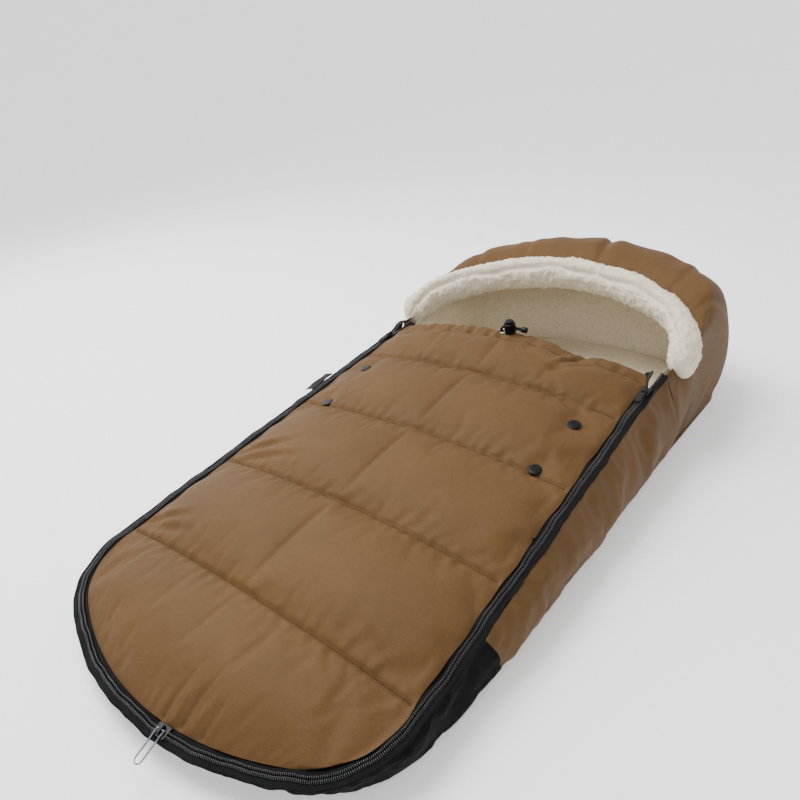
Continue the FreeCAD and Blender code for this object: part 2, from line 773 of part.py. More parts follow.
def build_zips():
    """Stringers for each body, stops, and the three sliders with their pulls."""
    for side, name in ((-1, "left"), (1, "right")):
        save_node(on_cover(zip_stringer(1, -far, far, side)), name + "_wall_stringer")
        spans = [
            ("toe", -far, toe_seam),
            ("cover", toe_seam + body_gap, flap_seam),
            ("flap", flap_seam + body_gap, far),
        ]
        for part_name, y0, y1 in spans:
            save_node(
                on_cover(zip_stringer(-1, y0, y1, side)), name + "_" + part_name + "_stringer"
            )
        save_node(on_cover(place_side(slider_body(True), side)), name + "_slider")
        save_node(on_cover(place_side(tab_pull(), side)), name + "_pull")
    toe_slider, toe_pull = slider_body(False), wire_pull()
    for shape, node in ((toe_slider, "toe_slider"), (toe_pull, "toe_pull")):
        out = shape.copy()
        out.rotate(Vector(0, 0, 0), Vector(0, 0, 1), -90)
        out.rotate(Vector(0, toe_radius, 0), Vector(0, 0, 1), toe_slider_angle)
        save_node(on_cover(out), node)


# ---------------------------------------------------------------- label
def build_label():
    """Blank woven label caught in the left wall's seam."""
    plate = box(-label_reach, 0, 0, label_length, 0, label_thickness)
    plate.rotate(Vector(0, 0, 0), Vector(0, 1, 0), label_tilt)
    x, angle = slider_at(label_at)
    plate.rotate(Vector(0, 0, 0), Vector(0, 0, 1), -angle)
    plate.translate(Vector(-x - tape_reach, label_at, tape_thickness + 0.1))
    save_node(on_cover(plate), "side_label")


build_back()
build_wall()
build_hood()
build_cover()
build_zips()
build_label()

print("pitch", round(pitch, 4), "middle_y", round(middle_y, 3), "neck_y", round(neck_y, 3))
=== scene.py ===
import math

import bmesh
import bpy
import numpy as np
from mathutils import Matrix, Vector, noise


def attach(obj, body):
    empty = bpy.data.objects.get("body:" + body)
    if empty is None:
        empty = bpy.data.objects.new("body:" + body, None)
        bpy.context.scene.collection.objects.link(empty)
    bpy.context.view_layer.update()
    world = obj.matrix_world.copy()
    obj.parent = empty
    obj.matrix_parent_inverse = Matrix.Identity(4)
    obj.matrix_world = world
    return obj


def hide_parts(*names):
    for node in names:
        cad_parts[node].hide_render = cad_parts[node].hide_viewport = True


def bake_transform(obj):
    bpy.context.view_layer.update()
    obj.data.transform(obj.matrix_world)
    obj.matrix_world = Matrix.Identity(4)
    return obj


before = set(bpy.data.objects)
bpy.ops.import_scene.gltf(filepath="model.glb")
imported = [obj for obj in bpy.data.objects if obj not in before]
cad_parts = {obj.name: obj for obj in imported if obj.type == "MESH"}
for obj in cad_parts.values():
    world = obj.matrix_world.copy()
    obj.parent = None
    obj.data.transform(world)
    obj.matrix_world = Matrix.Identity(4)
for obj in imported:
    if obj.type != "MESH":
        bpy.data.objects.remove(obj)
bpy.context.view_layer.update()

# ---------------------------------------------------------------- The view
# The bag lies on a pale floor and is seen from above its foot end, over its right side.
# The camera stands a little over a metre away and is tipped slightly to one side.
turn = math.radians(44.24)
rise = math.radians(27.58)
tip = math.radians(-7.72)
stand_off = 1.275
looks_at = Vector((-0.2282, 0.1415, 0.0))
backwards = Vector(
    (math.sin(turn) * math.cos(rise), -math.cos(turn) * math.cos(rise), math.sin(rise))
)
level_right = Vector((math.cos(turn), math.sin(turn), 0.0))
level_up = backwards.cross(level_right)
right = level_right * math.cos(tip) + level_up * math.sin(tip)
upright = level_up * math.cos(tip) - level_right * math.sin(tip)
lens = bpy.data.cameras.new("view")
lens.sensor_width = 36.0
lens.lens = 32.5
lens.clip_start = 0.01
camera = bpy.data.objects.new("view", lens)
bpy.context.scene.collection.objects.link(camera)
camera.matrix_world = Matrix.Translation(looks_at + backwards * stand_off) @ Matrix(
    (
        (right.x, upright.x, backwards.x, 0),
        (right.y, upright.y, backwards.y, 0),
        (right.z, upright.z, backwards.z, 0),
        (0, 0, 0, 1),
    )
)
bpy.context.scene.camera = camera

# ---------------------------------------------------------------- Zip tapes
# Two long zips run down the bag's sides and meet at the toe: woven black tape with a coil of nylon along it.
# One tape of each pair is sewn to the padded wall, the other to the quilted cover.
# They part above the side sliders, where the zip is open.
pitch = math.asin(0.15)
to_middle = 0.51604
toe_rest = 0.030
zip_top = 0.6997
half_wide, half_neck = 0.243, 0.218
toe_radius, corner_radius = 0.430, 0.105
corner_x = half_wide - corner_radius
corner_y = toe_radius - math.sqrt((toe_radius - corner_radius) ** 2 - corner_x**2)
toe_half = math.asin(corner_x / (toe_radius - corner_radius))
taper = 0.0
for _ in range(20):
    taper = math.atan(
        (corner_x + corner_radius * math.cos(taper) - half_neck)
        / (0.7 - corner_y - corner_radius * math.sin(taper))
    )
toe_slider_at = math.radians(6.0)
side_slider_at = 0.655
cover_fold = 0.150
flap_fold = 0.505
plain_row = 0.370


def on_cover(local):
    """Points given across, along and above the sloping cover, put in their place."""
    local = np.asarray(local, float)
    x, y, z = local[..., 0], local[..., 1], local[..., 2]
    return np.stack(
        [
            x,
            y * math.cos(pitch) - z * math.sin(pitch) - to_middle,
            toe_rest + y * math.sin(pitch) + z * math.cos(pitch),
        ],
        -1,
    )


def zip_line(outwards, tuck=0.0, top=zip_top, counts=(60, 46, 150)):
    """The line round the bag from the left top by the toe to the right top, moved outwards, across and along."""
    a = np.linspace(0, toe_half, counts[0])
    toe = np.stack(
        [(toe_radius + outwards) * np.sin(a), toe_radius - (toe_radius + outwards) * np.cos(a)], -1
    )
    b = np.linspace(toe_half - math.pi / 2, taper, counts[1])[1:]
    round_off = corner_radius + outwards
    corner = np.stack([corner_x + round_off * np.cos(b), corner_y + round_off * np.sin(b)], -1)
    share = np.linspace(0, 1, counts[2])[1:, None]
    run = top - tuck - corner[-1, 1]
    end = corner[-1] + np.array([-run * math.tan(taper), run])
    side = corner[-1] + share * (end - corner[-1])
    half = np.concatenate([toe, corner, side])
    half[:, 1] += tuck
    other = half[:0:-1] * np.array([-1, 1])
    return np.concatenate([other, half])


def evenly(points, spacing):
    """The same path with points a fixed distance apart."""
    points = np.asarray(points, float)
    steps = np.linalg.norm(np.diff(points, axis=0), axis=1)
    along = np.concatenate([[0], np.cumsum(steps)])
    count = max(2, int(round(along[-1] / spacing)) + 1)
    where = np.linspace(0, along[-1], count)
    return np.stack([np.interp(where, along, points[:, k]) for k in range(points.shape[1])], -1)


def piece_from(name, points, faces, smooth=True):
    """A new piece at the origin from points and faces, with its faces turned outwards."""
    mesh = bpy.data.meshes.new(name)
    mesh.from_pydata([tuple(map(float, p)) for p in points], [], [tuple(map(int, f)) for f in faces])
    mesh.validate()
    work = bmesh.new()
    work.from_mesh(mesh)
    bmesh.ops.recalc_face_normals(work, faces=work.faces)
    work.to_mesh(mesh)
    work.free()
    mesh.polygons.foreach_set("use_smooth", [smooth] * len(mesh.polygons))
    piece = bpy.data.objects.new(name, mesh)
    bpy.context.scene.collection.objects.link(piece)
    return piece


def net(rows, columns, around=False, along=False, first=0):
    """Faces of a grid of points, wrapped round on itself either way."""
    faces = []
    for i in range(rows if along else rows - 1):
        for j in range(columns if around else columns - 1):
            k, m = (i + 1) % rows, (j + 1) % columns
            faces.append(
                (first + i * columns + j, first + i * columns + m, first + k * columns + m,
                    first + k * columns + j)
            )
    return faces


class Wire:
    """One output of a finish's pattern, so that patterns add and multiply like numbers."""

    def __init__(self, finish, socket):
        self.finish = finish
        self.socket = socket

    def sum(self, operation, first, second):
        return self.finish.node("ShaderNodeMath", {"operation": operation}, {0: first, 1: second})

    def __add__(self, other):
        return self.sum("ADD", self, other)

    def __radd__(self, other):
        return self.sum("ADD", other, self)

    def __sub__(self, other):
        return self.sum("SUBTRACT", self, other)

    def __rsub__(self, other):
        return self.sum("SUBTRACT", other, self)

    def __mul__(self, other):
        return self.sum("MULTIPLY", self, other)

    def __rmul__(self, other):
        return self.sum("MULTIPLY", other, self)


class Finish:
    """One material, with a short way to add nodes to it."""

    def __init__(self, name, **shader):
        self.material = bpy.data.materials.new(name)
        self.material.use_nodes = True
        self.tree = self.material.node_tree
        self.shader = self.tree.nodes["Principled BSDF"]
        for words, value in shader.items():
            self.feed(self.shader.inputs[words.replace("_", " ")], value)

    def feed(self, socket, value):
        if isinstance(value, Wire):
            self.tree.links.new(value.socket, socket)
        else:
            socket.default_value = value

    def node(self, kind, settings=None, sockets=None, out=0):
        made = self.tree.nodes.new(kind)
        for words, value in (settings or {}).items():
            if words == "stops":
                ends = made.color_ramp.elements
                ends[0].position, ends[0].color = value[0]
                ends[1].position, ends[1].color = value[-1]
                for place, colour in value[1:-1]:
                    ends.new(place).color = colour
            else:
                setattr(made, words, value)
        for words, value in (sockets or {}).items():
            self.feed(made.inputs[words], value)
        return Wire(self, made.outputs[out])

    def place(self):
        return self.node("ShaderNodeTexCoord", out=3)

    def grain(self, scale, detail=2.0, rough=0.5, warp=0.0):
        return self.node(
            "ShaderNodeTexNoise",
            {},
            {"Vector": self.place(), "Scale": scale, "Detail": detail, "Roughness": rough,
                "Distortion": warp},
        )

    def ramp(self, source, *stops):
        return self.node("ShaderNodeValToRGB", {"stops": stops}, {0: source})

    def bump(self, height, distance, strength=1.0, under=None):
        sockets = {"Height": height, "Distance": distance, "Strength": strength}
        if under is not None:
            sockets["Normal"] = under
        normal = self.node("ShaderNodeBump", {}, sockets)
        self.feed(self.shader.inputs["Normal"], normal)
        return normal


def tone(red, green, blue):
    return (red, green, blue, 1.0)


tape_black = Finish("zip_tape_black", Roughness=0.85, Specular_IOR_Level=0.15)
tape_rib = tape_black.node(
    "ShaderNodeTexWave",
    {"bands_direction": "DIAGONAL", "wave_type": "BANDS"},
    {"Vector": tape_black.place(), "Scale": 260.0, "Distortion": 1.5, "Detail": 1.0},
    out=1,
)
tape_fuzz = tape_black.grain(900.0)
tape_black.feed(
    tape_black.shader.inputs["Base Color"],
    tape_black.ramp(tape_rib * 0.6 + tape_fuzz * 0.4, (0.2, tone(0.0008, 0.0008, 0.0010)),
        (0.9, tone(0.0060, 0.0060, 0.0066))),
)
tape_black.bump(tape_rib * 0.5 + tape_fuzz * 0.5, 0.0004, 0.7)

coil_nylon = Finish("zip_coil_nylon", Roughness=0.2, Specular_IOR_Level=0.8)
coil_nylon.feed(
    coil_nylon.shader.inputs["Base Color"],
    coil_nylon.ramp(coil_nylon.grain(300.0), (0.3, tone(0.0010, 0.0010, 0.0012)),
        (0.8, tone(0.0060, 0.0060, 0.0066))),
)
coil_nylon.bump(coil_nylon.grain(1500.0), 0.0001, 0.4)


def open_share(along):
    """How far the zip stands open at a place along the bag: nothing up to the slider, most near the top."""
    t = np.clip((along - side_slider_at - 0.004) / 0.030, 0, 1)
    return t * t * (3 - 2 * t)


def wavy(along_path):
    """The slight unevenness of sewn tape, by distance along it."""
    s = along_path
    return (
        0.0007 * np.sin(s * 41.0 + 0.7) + 0.0005 * np.sin(s * 97.0 + 2.1) + 0.0003 * np.sin(s * 211.0),
        0.0008 * np.sin(s * 53.0 + 1.9) + 0.0006 * np.sin(s * 131.0 + 0.4),
    )


def zip_run(outwards, above):
    """A line along the zip, moved outwards and above, with the opening above the sliders and the tape's waviness."""
    line = zip_line(0.0)
    side = zip_line(0.001) - line
    side /= np.linalg.norm(side, axis=1)[:, None]
    steps = np.linalg.norm(np.diff(line, axis=0), axis=1)
    s = np.concatenate([[0], np.cumsum(steps)])
    sideways, upwards = wavy(s)
    parted = open_share(line[:, 1]) * (0.0035 if outwards > 0 else -0.0060)
    flat = line + side * (outwards + sideways + parted)[:, None]
    lift = above + upwards + 0.002 * open_share(line[:, 1])
    return np.column_stack([flat, lift])


def strip(name, run, first, last, thick=0.0009, columns=6, edge_lift=0.0):
    """A tape between two offsets across, along part of the zip's run."""
    rows = []
    for k in range(columns):
        t = k / (columns - 1)
        offset = first + (last - first) * t
        rows.append(on_cover(zip_run(offset, 0.0006 + edge_lift * t * t)[run]))
    rows = np.stack(rows, 1)
    under = rows - np.array([0, 0, thick])
    around = np.concatenate([rows, under[:, ::-1]], 1)
    faces = net(len(around), around.shape[1], around=True)
    count = around.shape[1]
    faces.append(tuple(range(count))[::-1])
    faces.append(tuple(range((len(around) - 1) * count, len(around) * count)))
    return piece_from(name, around.reshape(-1, 3), faces)


# One tooth of the coil, a short bent bar of a few dozen faces.
tooth_points = []
for k in range(7):
    t = k / 6
    bend = math.sin(t * math.pi)
    centre = Vector((-0.0020 + 0.0040 * t, 0.0, 0.0017 * bend - 0.0004))
    for c in range(6):
        a = c / 6 * 2 * math.pi
        tooth_points.append(centre + Vector((0, 0.00060 * math.cos(a), 0.00060 * math.sin(a))))
tooth_faces = net(7, 6, around=True) + [tuple(range(6))[::-1], tuple(range(36, 42))]
coil_tooth = piece_from("coil_tooth", tooth_points, tooth_faces)


def repeat_along(name, path, item, spacing, material, turned=0.0):
    """Copies of a small item set along a path at even spacing, heading along it, as one plain mesh."""
    curve = bpy.data.curves.new(name + "_path", "CURVE")
    curve.dimensions = "3D"
    spline = curve.splines.new("POLY")
    spline.points.add(len(path) - 1)
    for point, place in zip(spline.points, path):
        point.co = (*map(float, place), 1.0)
    holder = bpy.data.objects.new(name, curve)
    bpy.context.scene.collection.objects.link(holder)
    tree = bpy.data.node_groups.new(name + "_rule", "GeometryNodeTree")
    tree.interface.new_socket("Geometry", in_out="INPUT", socket_type="NodeSocketGeometry")
    spacing_socket = tree.interface.new_socket("Spacing", in_out="INPUT", socket_type="NodeSocketFloat")
    turn_socket = tree.interface.new_socket("Turn", in_out="INPUT", socket_type="NodeSocketFloat")
    item_socket = tree.interface.new_socket("Item", in_out="INPUT", socket_type="NodeSocketObject")
    tree.interface.new_socket("Geometry", in_out="OUTPUT", socket_type="NodeSocketGeometry")
    start = tree.nodes.new("NodeGroupInput")
    end = tree.nodes.new("NodeGroupOutput")
    resample = tree.nodes.new("GeometryNodeResampleCurve")
    resample.mode = "LENGTH"
    tangent = tree.nodes.new("GeometryNodeInputTangent")
    heading = tree.nodes.new("FunctionNodeAlignRotationToVector")
    heading.axis = "Y"
    upwards = tree.nodes.new("FunctionNodeAlignRotationToVector")
    upwards.axis = "Z"
    upwards.pivot_axis = "Y"
    upwards.inputs["Vector"].default_value = (0, 0, 1)
    spin = tree.nodes.new("FunctionNodeRotateRotation")
    spin.rotation_space = "LOCAL"
    about = tree.nodes.new("FunctionNodeAxisAngleToRotation")
    about.inputs["Axis"].default_value = (0, 0, 1)
    info = tree.nodes.new("GeometryNodeObjectInfo")
    place = tree.nodes.new("GeometryNodeInstanceOnPoints")
    realize = tree.nodes.new("GeometryNodeRealizeInstances")
    paint = tree.nodes.new("GeometryNodeSetMaterial")
    paint.inputs["Material"].default_value = material
    link = tree.links.new
    link(start.outputs["Geometry"], resample.inputs["Curve"])
    link(start.outputs["Spacing"], resample.inputs["Length"])
    link(resample.outputs["Curve"], place.inputs["Points"])
    link(tangent.outputs["Tangent"], heading.inputs["Vector"])
    link(heading.outputs["Rotation"], upwards.inputs["Rotation"])
    link(upwards.outputs["Rotation"], spin.inputs["Rotation"])
    link(start.outputs["Turn"], about.inputs["Angle"])
    link(about.outputs["Rotation"], spin.inputs["Rotate By"])
    link(spin.outputs["Rotation"], place.inputs["Rotation"])
    link(start.outputs["Item"], info.inputs["Object"])
    link(info.outputs["Geometry"], place.inputs["Instance"])
    link(place.outputs["Instances"], realize.inputs["Geometry"])
    link(realize.outputs["Geometry"], paint.inputs["Geometry"])
    link(paint.outputs["Geometry"], end.inputs["Geometry"])
    rule = holder.modifiers.new("rule", "NODES")
    rule.node_group = tree
    rule[spacing_socket.identifier] = float(spacing)
    rule[turn_socket.identifier] = float(turned)
    rule[item_socket.identifier] = item
    ready = holder.evaluated_get(bpy.context.evaluated_depsgraph_get())
    mesh = bpy.data.meshes.new_from_object(ready)
    bpy.data.objects.remove(holder)
    bpy.data.node_groups.remove(tree)
    mesh.name = name
    piece = bpy.data.objects.new(name, mesh)
    bpy.context.scene.collection.objects.link(piece)
    if not mesh.materials:
        mesh.materials.append(material)
    return piece


def along_the_line(low, high, side):
    """Which points of the zip's line lie between two places along the bag, on one side of the toe slider."""
    line = zip_line(0.0)
    turned = np.arctan2(line[:, 0], toe_radius - line[:, 1])
    on_side = (turned > toe_slider_at) if side > 0 else (turned <= toe_slider_at)
    on_side = np.where(line[:, 1] > 0.3, line[:, 0] * side > 0, on_side)
    kept = np.nonzero(on_side & (line[:, 1] >= low - 1e-6) & (line[:, 1] <= high + 1e-6))[0]
    return kept


def bend_row(along):
    """A point on the cover's surface at a place along it."""
    return Vector(on_cover((0.0, along, 0.0)))


tape_spans = [
    ("toe", -1.0, plain_row, "shell", "cover", cover_fold),
    ("cover", plain_row, 1.0, "cover", "flap", flap_fold),
]
for side, hand in ((-1, "left"), (1, "right")):
    run = along_the_line(-1.0, 1.0, side)
    tape = strip(hand + "_wall_tape", run, 0.0002, 0.0104, edge_lift=-0.0006)
    tape.data.materials.append(tape_black.material)
    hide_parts(hand + "_wall_stringer")
    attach(tape, "shell")
    teeth = repeat_along(
        hand + "_wall_coil", on_cover(zip_run(0.0019, 0.0013)[run]), coil_tooth, 0.0019, coil_nylon.material
    )
    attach(teeth, "shell")
    for stretch, low, high, before, after, fold in tape_spans:
        run = along_the_line(low, high, side)
        if stretch == "cover":
            run = np.sort(np.unique(np.concatenate([run, along_the_line(plain_row - 0.006, 1.0, side)])))
        tape = strip(hand + "_" + stretch + "_tape", run, -0.0002, -0.0115, edge_lift=-0.0030)
        tape.data.materials.append(tape_black.material)
        teeth = repeat_along(
            hand + "_" + stretch + "_coil", on_cover(zip_run(-0.0019, 0.0013)[run]), coil_tooth, 0.0019,
                coil_nylon.material
        )
        if stretch == "toe":
            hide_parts(hand + "_toe_stringer")
            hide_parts(hand + "_cover_stringer")
        else:
            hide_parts(hand + "_flap_stringer")
        for part in (tape, teeth):
            bend_row(fold - 0.028)
            bend_row(fold + 0.028)
            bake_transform(part)
bpy.data.objects.remove(coil_tooth)

# ---------------------------------------------------------------- Quilted cover
# A padded brown cover: smooth woven polyester over wadding, stitched through in soft channels from
# side to side.
# It is made in two pieces, split at a plain row between its second and third seams.
seams = (0.150, 0.303, 0.452, 0.592)
hem_seam = 0.672
brown_cloth = Finish(
    "brown_polyester", Roughness=0.65, Sheen_Weight=0.02, Sheen_Roughness=0.4, Specular_IOR_Level=0.09
)
cloth_grain = brown_cloth.grain(1300.0, 2.0, 0.6)
cloth_cloud = brown_cloth.grain(9.0, 3.0, 0.55)
cloth_slub = brown_cloth.node(
    "ShaderNodeTexNoise",
    {},
    {
        "Vector": brown_cloth.node(
            "ShaderNodeMapping", {}, {"Vector": brown_cloth.place(), "Scale": (60.0, 900.0, 900.0)}
        ),
        "Scale": 1.0,
        "Detail": 2.0,
    },
)
brown_cloth.feed(
    brown_cloth.shader.inputs["Base Color"],
    brown_cloth.ramp(
        cloth_grain * 0.45 + cloth_cloud * 0.35 + cloth_slub * 0.2,
        (0.25, tone(0.064, 0.0320, 0.0110)),
        (0.5, tone(0.092, 0.0480, 0.0172)),
        (0.75, tone(0.124, 0.0665, 0.0250)),
    ),
)
brown_cloth.feed(brown_cloth.shader.inputs["Roughness"], cloth_grain * 0.2 + 0.5)
brown_cloth.bump(
    cloth_slub * 0.4 + cloth_grain * 0.6,
    0.00025,
    0.6,
    brown_cloth.bump(brown_cloth.grain(70.0, 3.0, 0.6, 0.6), 0.0022, 0.35),
)


def toe_edge(x, outwards):
    """Where the toe's line lies at a distance across."""
    x = np.abs(x)
    reach = toe_radius + outwards
    arc = toe_radius - np.sqrt(reach**2 - np.minimum(x, reach * 0.99) ** 2)
    round_off = corner_radius + outwards
    corner = corner_y - np.sqrt(np.maximum(round_off**2 - (x - corner_x) ** 2, 0))
    return np.where(x <= reach * math.sin(toe_half), arc, corner)


def cover_net(outwards, columns, marks, steps):
    """A net over the cover's plan: rows run from side to side, straight above the first seam, bowed at the toe."""
    knee = -math.pi / 4
    round_off = corner_radius + outwards
    knee_x = corner_x + round_off * math.cos(knee)
    knee_y = corner_y + round_off * math.sin(knee)
    places = np.concatenate(
        [np.linspace(a, b, n, endpoint=False) for a, b,
            n in zip((knee_y, *marks), marks, steps)] + [[marks[-1]]]
    )
    u = np.linspace(-1, 1, columns)
    rows = []
    corner_end = corner_y + round_off * math.sin(taper)
    for y in places:
        if y < corner_end:
            edge = corner_x + math.sqrt(max(round_off**2 - (y - corner_y) ** 2, 0))
        else:
            edge = corner_x + round_off * math.cos(taper) - (y - corner_end) * math.tan(taper)
        edge += 0.0009 * math.sin(y * 58 + 1.0) + 0.0007 * math.sin(y * 131 + 2.2)
        bow = max(0.0, 1 - (y - knee_y) / (marks[0] - knee_y)) ** 1.6
        x = u * edge
        rows.append(np.stack([x, y + bow * (toe_edge(u * knee_x, outwards) - knee_y)], -1))
    return np.stack(rows)


def channel_puff(along, lines):
    """How full a sewn channel is between its seams: nothing on a seam, most halfway."""
    puff = np.zeros_like(along)
    for low, high in zip(lines, lines[1:]):
        t = np.clip((along - low) / (high - low), 0, 1)
        puff = np.maximum(puff, np.where((along >= low) & (along <= high), np.sin(t * math.pi) ** 0.62, 0))
    return puff


def swell(piece, held, press, grow, frames, most, seed_lift=0.0):
    """Fills a sheet of cloth with wadding: it is held at its seams, let out a little and pressed from inside."""
    mesh = piece.data
    before = np.array([v.co for v in mesh.vertices], float)
    group = piece.vertex_groups.new(name="held")
    for index, weight in enumerate(held):
        if weight > 0:
            group.add([index], float(weight), "REPLACE")
    cloth = piece.modifiers.new("wadding", "CLOTH")
    how = cloth.settings
    how.quality = 6
    how.mass = 0.15
    how.tension_stiffness = 12
    how.compression_stiffness = 12
    how.shear_stiffness = 4
    how.bending_stiffness = 0.12
    how.tension_damping = 5
    how.vertex_group_mass = "held"
    how.pin_stiffness = 1.0
    how.shrink_min = -grow
    how.use_pressure = True
    how.uniform_pressure_force = press
    how.effector_weights.gravity = 0.0
    cloth.collision_settings.use_collision = False
    scene = bpy.context.scene
    for step in range(1, frames + 1):
        scene.frame_set(step)
    ready = piece.evaluated_get(bpy.context.evaluated_depsgraph_get())
    after = np.array([v.co for v in ready.data.vertices], float)
    scene.frame_set(1)
    piece.modifiers.remove(cloth)
    moved = after - before
    size = np.linalg.norm(moved, axis=1)
    size[size < 1e-9] = 1e-9
    limit = most * np.tanh(size / most) / size
    after = before + moved * limit[:, None]
    mesh.vertices.foreach_set("co", after.ravel())
    mesh.update()
    piece.vertex_groups.clear()


def refine(piece, levels=1):
    """One finer subdivision, applied."""
    finer = piece.modifiers.new("finer", "SUBSURF")
    finer.levels = finer.render_levels = levels
    ready = piece.evaluated_get(bpy.context.evaluated_depsgraph_get())
    mesh = bpy.data.meshes.new_from_object(ready)
    piece.modifiers.remove(finer)
    old = piece.data
    mesh.name = old.name
    piece.data = mesh
    bpy.data.meshes.remove(old)
    return piece


stud_x = 0.177
stud_rows = (0.460, 0.550)


def cover_height(x, y, edge):
    """Height of the filled cover above the zips, before its cloth is let out."""
    across = np.clip(1 - np.abs(x / edge) ** 2.4, 0, 1)
    from_toe = np.clip((y - toe_edge(x, -0.0080)) / 0.12, 0, 1)
    near_hem = np.clip((y - 0.600) / 0.072, 0, 1)
    near_hem = near_hem * near_hem * (3 - 2 * near_hem)
    arch = (0.0185 + 0.0100 * near_hem) * across * np.sin(from_toe * math.pi / 2) ** 0.8
    lines = (-0.05, *seams, hem_seam)
    fullness = 0.0085 * np.clip(1 - np.abs(x / edge) ** 6, 0, 1) ** 0.7
    puff = fullness * channel_puff(y, lines) * np.clip(from_toe * 2.2, 0, 1) ** 0.6
    sag = 0.013 * np.exp(-(((x - 0.105) / 0.034) ** 2) - ((y - 0.705) / 0.050) ** 2)
    height = 0.0012 + arch + puff - sag
    for sx in (-stud_x, stud_x):
        for sy in stud_rows:
            height -= 0.0030 * np.exp(-((x - sx) ** 2 + (y - sy) ** 2) / 0.014**2)
    return height


marks = (seams[0], seams[1], plain_row, seams[2], flap_fold, seams[3], hem_seam, 0.6985)
steps = (20, 24, 10, 13, 8, 14, 13, 6)
plan = cover_net(-0.0072, 77, marks, steps)
rows, columns = plan.shape[:2]
half_width = np.abs(plan[:, -1, 0])[:, None]
high = cover_height(plan[..., 0], plan[..., 1], half_width)
lip = np.clip((plan[..., 1] - 0.686) / 0.0125, 0, 1)
high -= 0.010 * (1 - np.sqrt(np.clip(1 - lip**2, 0, 1)))
high[:, 0] = high[:, -1] = 0.0010
high[0] = 0.0010
quilt = piece_from(
    "cover_quilting", on_cover(np.dstack([plan, high])).reshape(-1, 3), net(rows, columns)
)
flat_y = plan[..., 1]
held = np.zeros((rows, columns))
for line in (*seams, hem_seam):
    held[np.abs(flat_y[:, columns // 2] - line) < 1e-4] = 1.0
held[0] = held[-1] = held[-2] = 1.0
held[:, 0] = held[:, -1] = 1.0
for sx in (-stud_x, stud_x):
    for sy in stud_rows:
        held[(plan[..., 0] - sx) ** 2 + (flat_y - sy) ** 2 < 0.009**2] = 1.0
swell(quilt, held.ravel(), 2.0, 0.018, 16, 0.006)
filled = np.array([v.co for v in quilt.data.vertices], float).reshape(rows, columns, 3)
bpy.data.objects.remove(quilt)

def under_cover(points):
    """Places of points across, along and above the sloping cover."""
    points = np.asarray(points, float)
    y, z = points[:, 1] + to_middle, points[:, 2] - toe_rest
    return (
        points[:, 0],
        y * math.cos(pitch) + z * math.sin(pitch),
        z * math.cos(pitch) - y * math.sin(pitch),
    )


def sewn_shape(piece):
    """Presses the stitched valleys, the gathers beside them and the cloth's creases into a finished quilt."""
    mesh = piece.data
    count = len(mesh.vertices)
    points = np.empty(count * 3)
    mesh.vertices.foreach_get("co", points)
    points = points.reshape(-1, 3)
    x, y, _ = under_cover(points)
    edge = np.interp(y, flat_y[:, columns // 2], half_width[:, 0])
    inside = np.clip((edge - np.abs(x)) / 0.005, 0, 1)
    push = np.zeros(count)
    for line, deep_in in ((seams[0], 0.0024), (seams[1], 0.0024), (seams[2], 0.0022),
        (seams[3], 0.0022), (hem_seam, 0.0016)):
        away = np.abs(y - line)
        push -= deep_in * np.exp(-((away / 0.0026) ** 2)) * inside
        gathers = np.zeros(count)
        for k, (pace, phase) in enumerate(((300.0, 0.3), (187.0, 1.7), (455.0, 4.1))):
            gathers += np.sin(x * pace + phase + line * 60 + 1.6 * np.sin(x * 29 + line * 90)) / (k + 1.5)
        push += 0.0008 * gathers * np.exp(-(((away - 0.006) / 0.006) ** 2)) * inside
    hem_near = np.clip((y - 0.655) / 0.02, 0, 1)
    hem_wave = np.sin(x * 205 + 1.2 * np.sin(x * 33)) + 0.6 * np.sin(x * 345 + 2.0)
    push += 0.0011 * hem_near * hem_wave * inside * (0.35 + np.exp(-(((x + 0.02) / 0.09) ** 2)))
    toe_gap = y - toe_edge(x, -0.0072)
    near_edge = np.clip(toe_gap / 0.004, 0, 1)
    for place, wide, deep_in, reach in (
        (0.018, 0.0040, 0.0014, 0.022),
        (0.034, 0.0035, 0.0030, 0.045),
        (0.047, 0.0040, -0.0022, 0.034),
        (0.059, 0.0035, 0.0034, 0.052),
        (0.074, 0.0045, -0.0020, 0.030),
        (0.086, 0.0040, 0.0022, 0.034),
        (0.130, 0.0050, 0.0010, 0.022),
        (-0.060, 0.0050, 0.0009, 0.020),
    ):
        across = x - place - 0.12 * toe_gap
        push -= deep_in * np.exp(-((across / wide) ** 2) - (toe_gap / reach) ** 2) * near_edge
    for cx, cy, lean, wide, reach, deep_in in (
        (-0.178, 0.338, 0.50, 0.006, 0.040, 0.0034),
        (-0.160, 0.322, 0.32, 0.006, 0.045, 0.0026),
        (-0.200, 0.178, 0.42, 0.006, 0.034, 0.0030),
        (-0.178, 0.167, 0.22, 0.006, 0.040, 0.0022),
        (0.175, 0.170, -0.45, 0.007, 0.036, 0.0016),
        (0.110, 0.668, 1.25, 0.0050, 0.024, 0.0050),
        (0.124, 0.648, 0.55, 0.006, 0.040, 0.0026),
        (0.085, 0.640, -0.30, 0.006, 0.045, 0.0018),
        (-0.150, 0.655, 0.20, 0.006, 0.050, 0.0018),
        (0.165, 0.575, -0.25, 0.007, 0.045, 0.0016),
    ):
        dx, dy = x - cx, y - cy
        along = dx * math.cos(lean) + dy * math.sin(lean)
        beside = dy * math.cos(lean) - dx * math.sin(lean)
        fold = np.exp(-((beside / wide) ** 2)) - 0.6 * np.exp(-(((beside - 1.7 * wide) / wide) ** 2))
        push -= deep_in * fold * np.exp(-((along / reach) ** 2)) * inside
    points[:, 1] -= push * math.sin(pitch)
    points[:, 2] += push * math.cos(pitch)
    mesh.vertices.foreach_set("co", points.ravel())
    mesh.update()
    return points


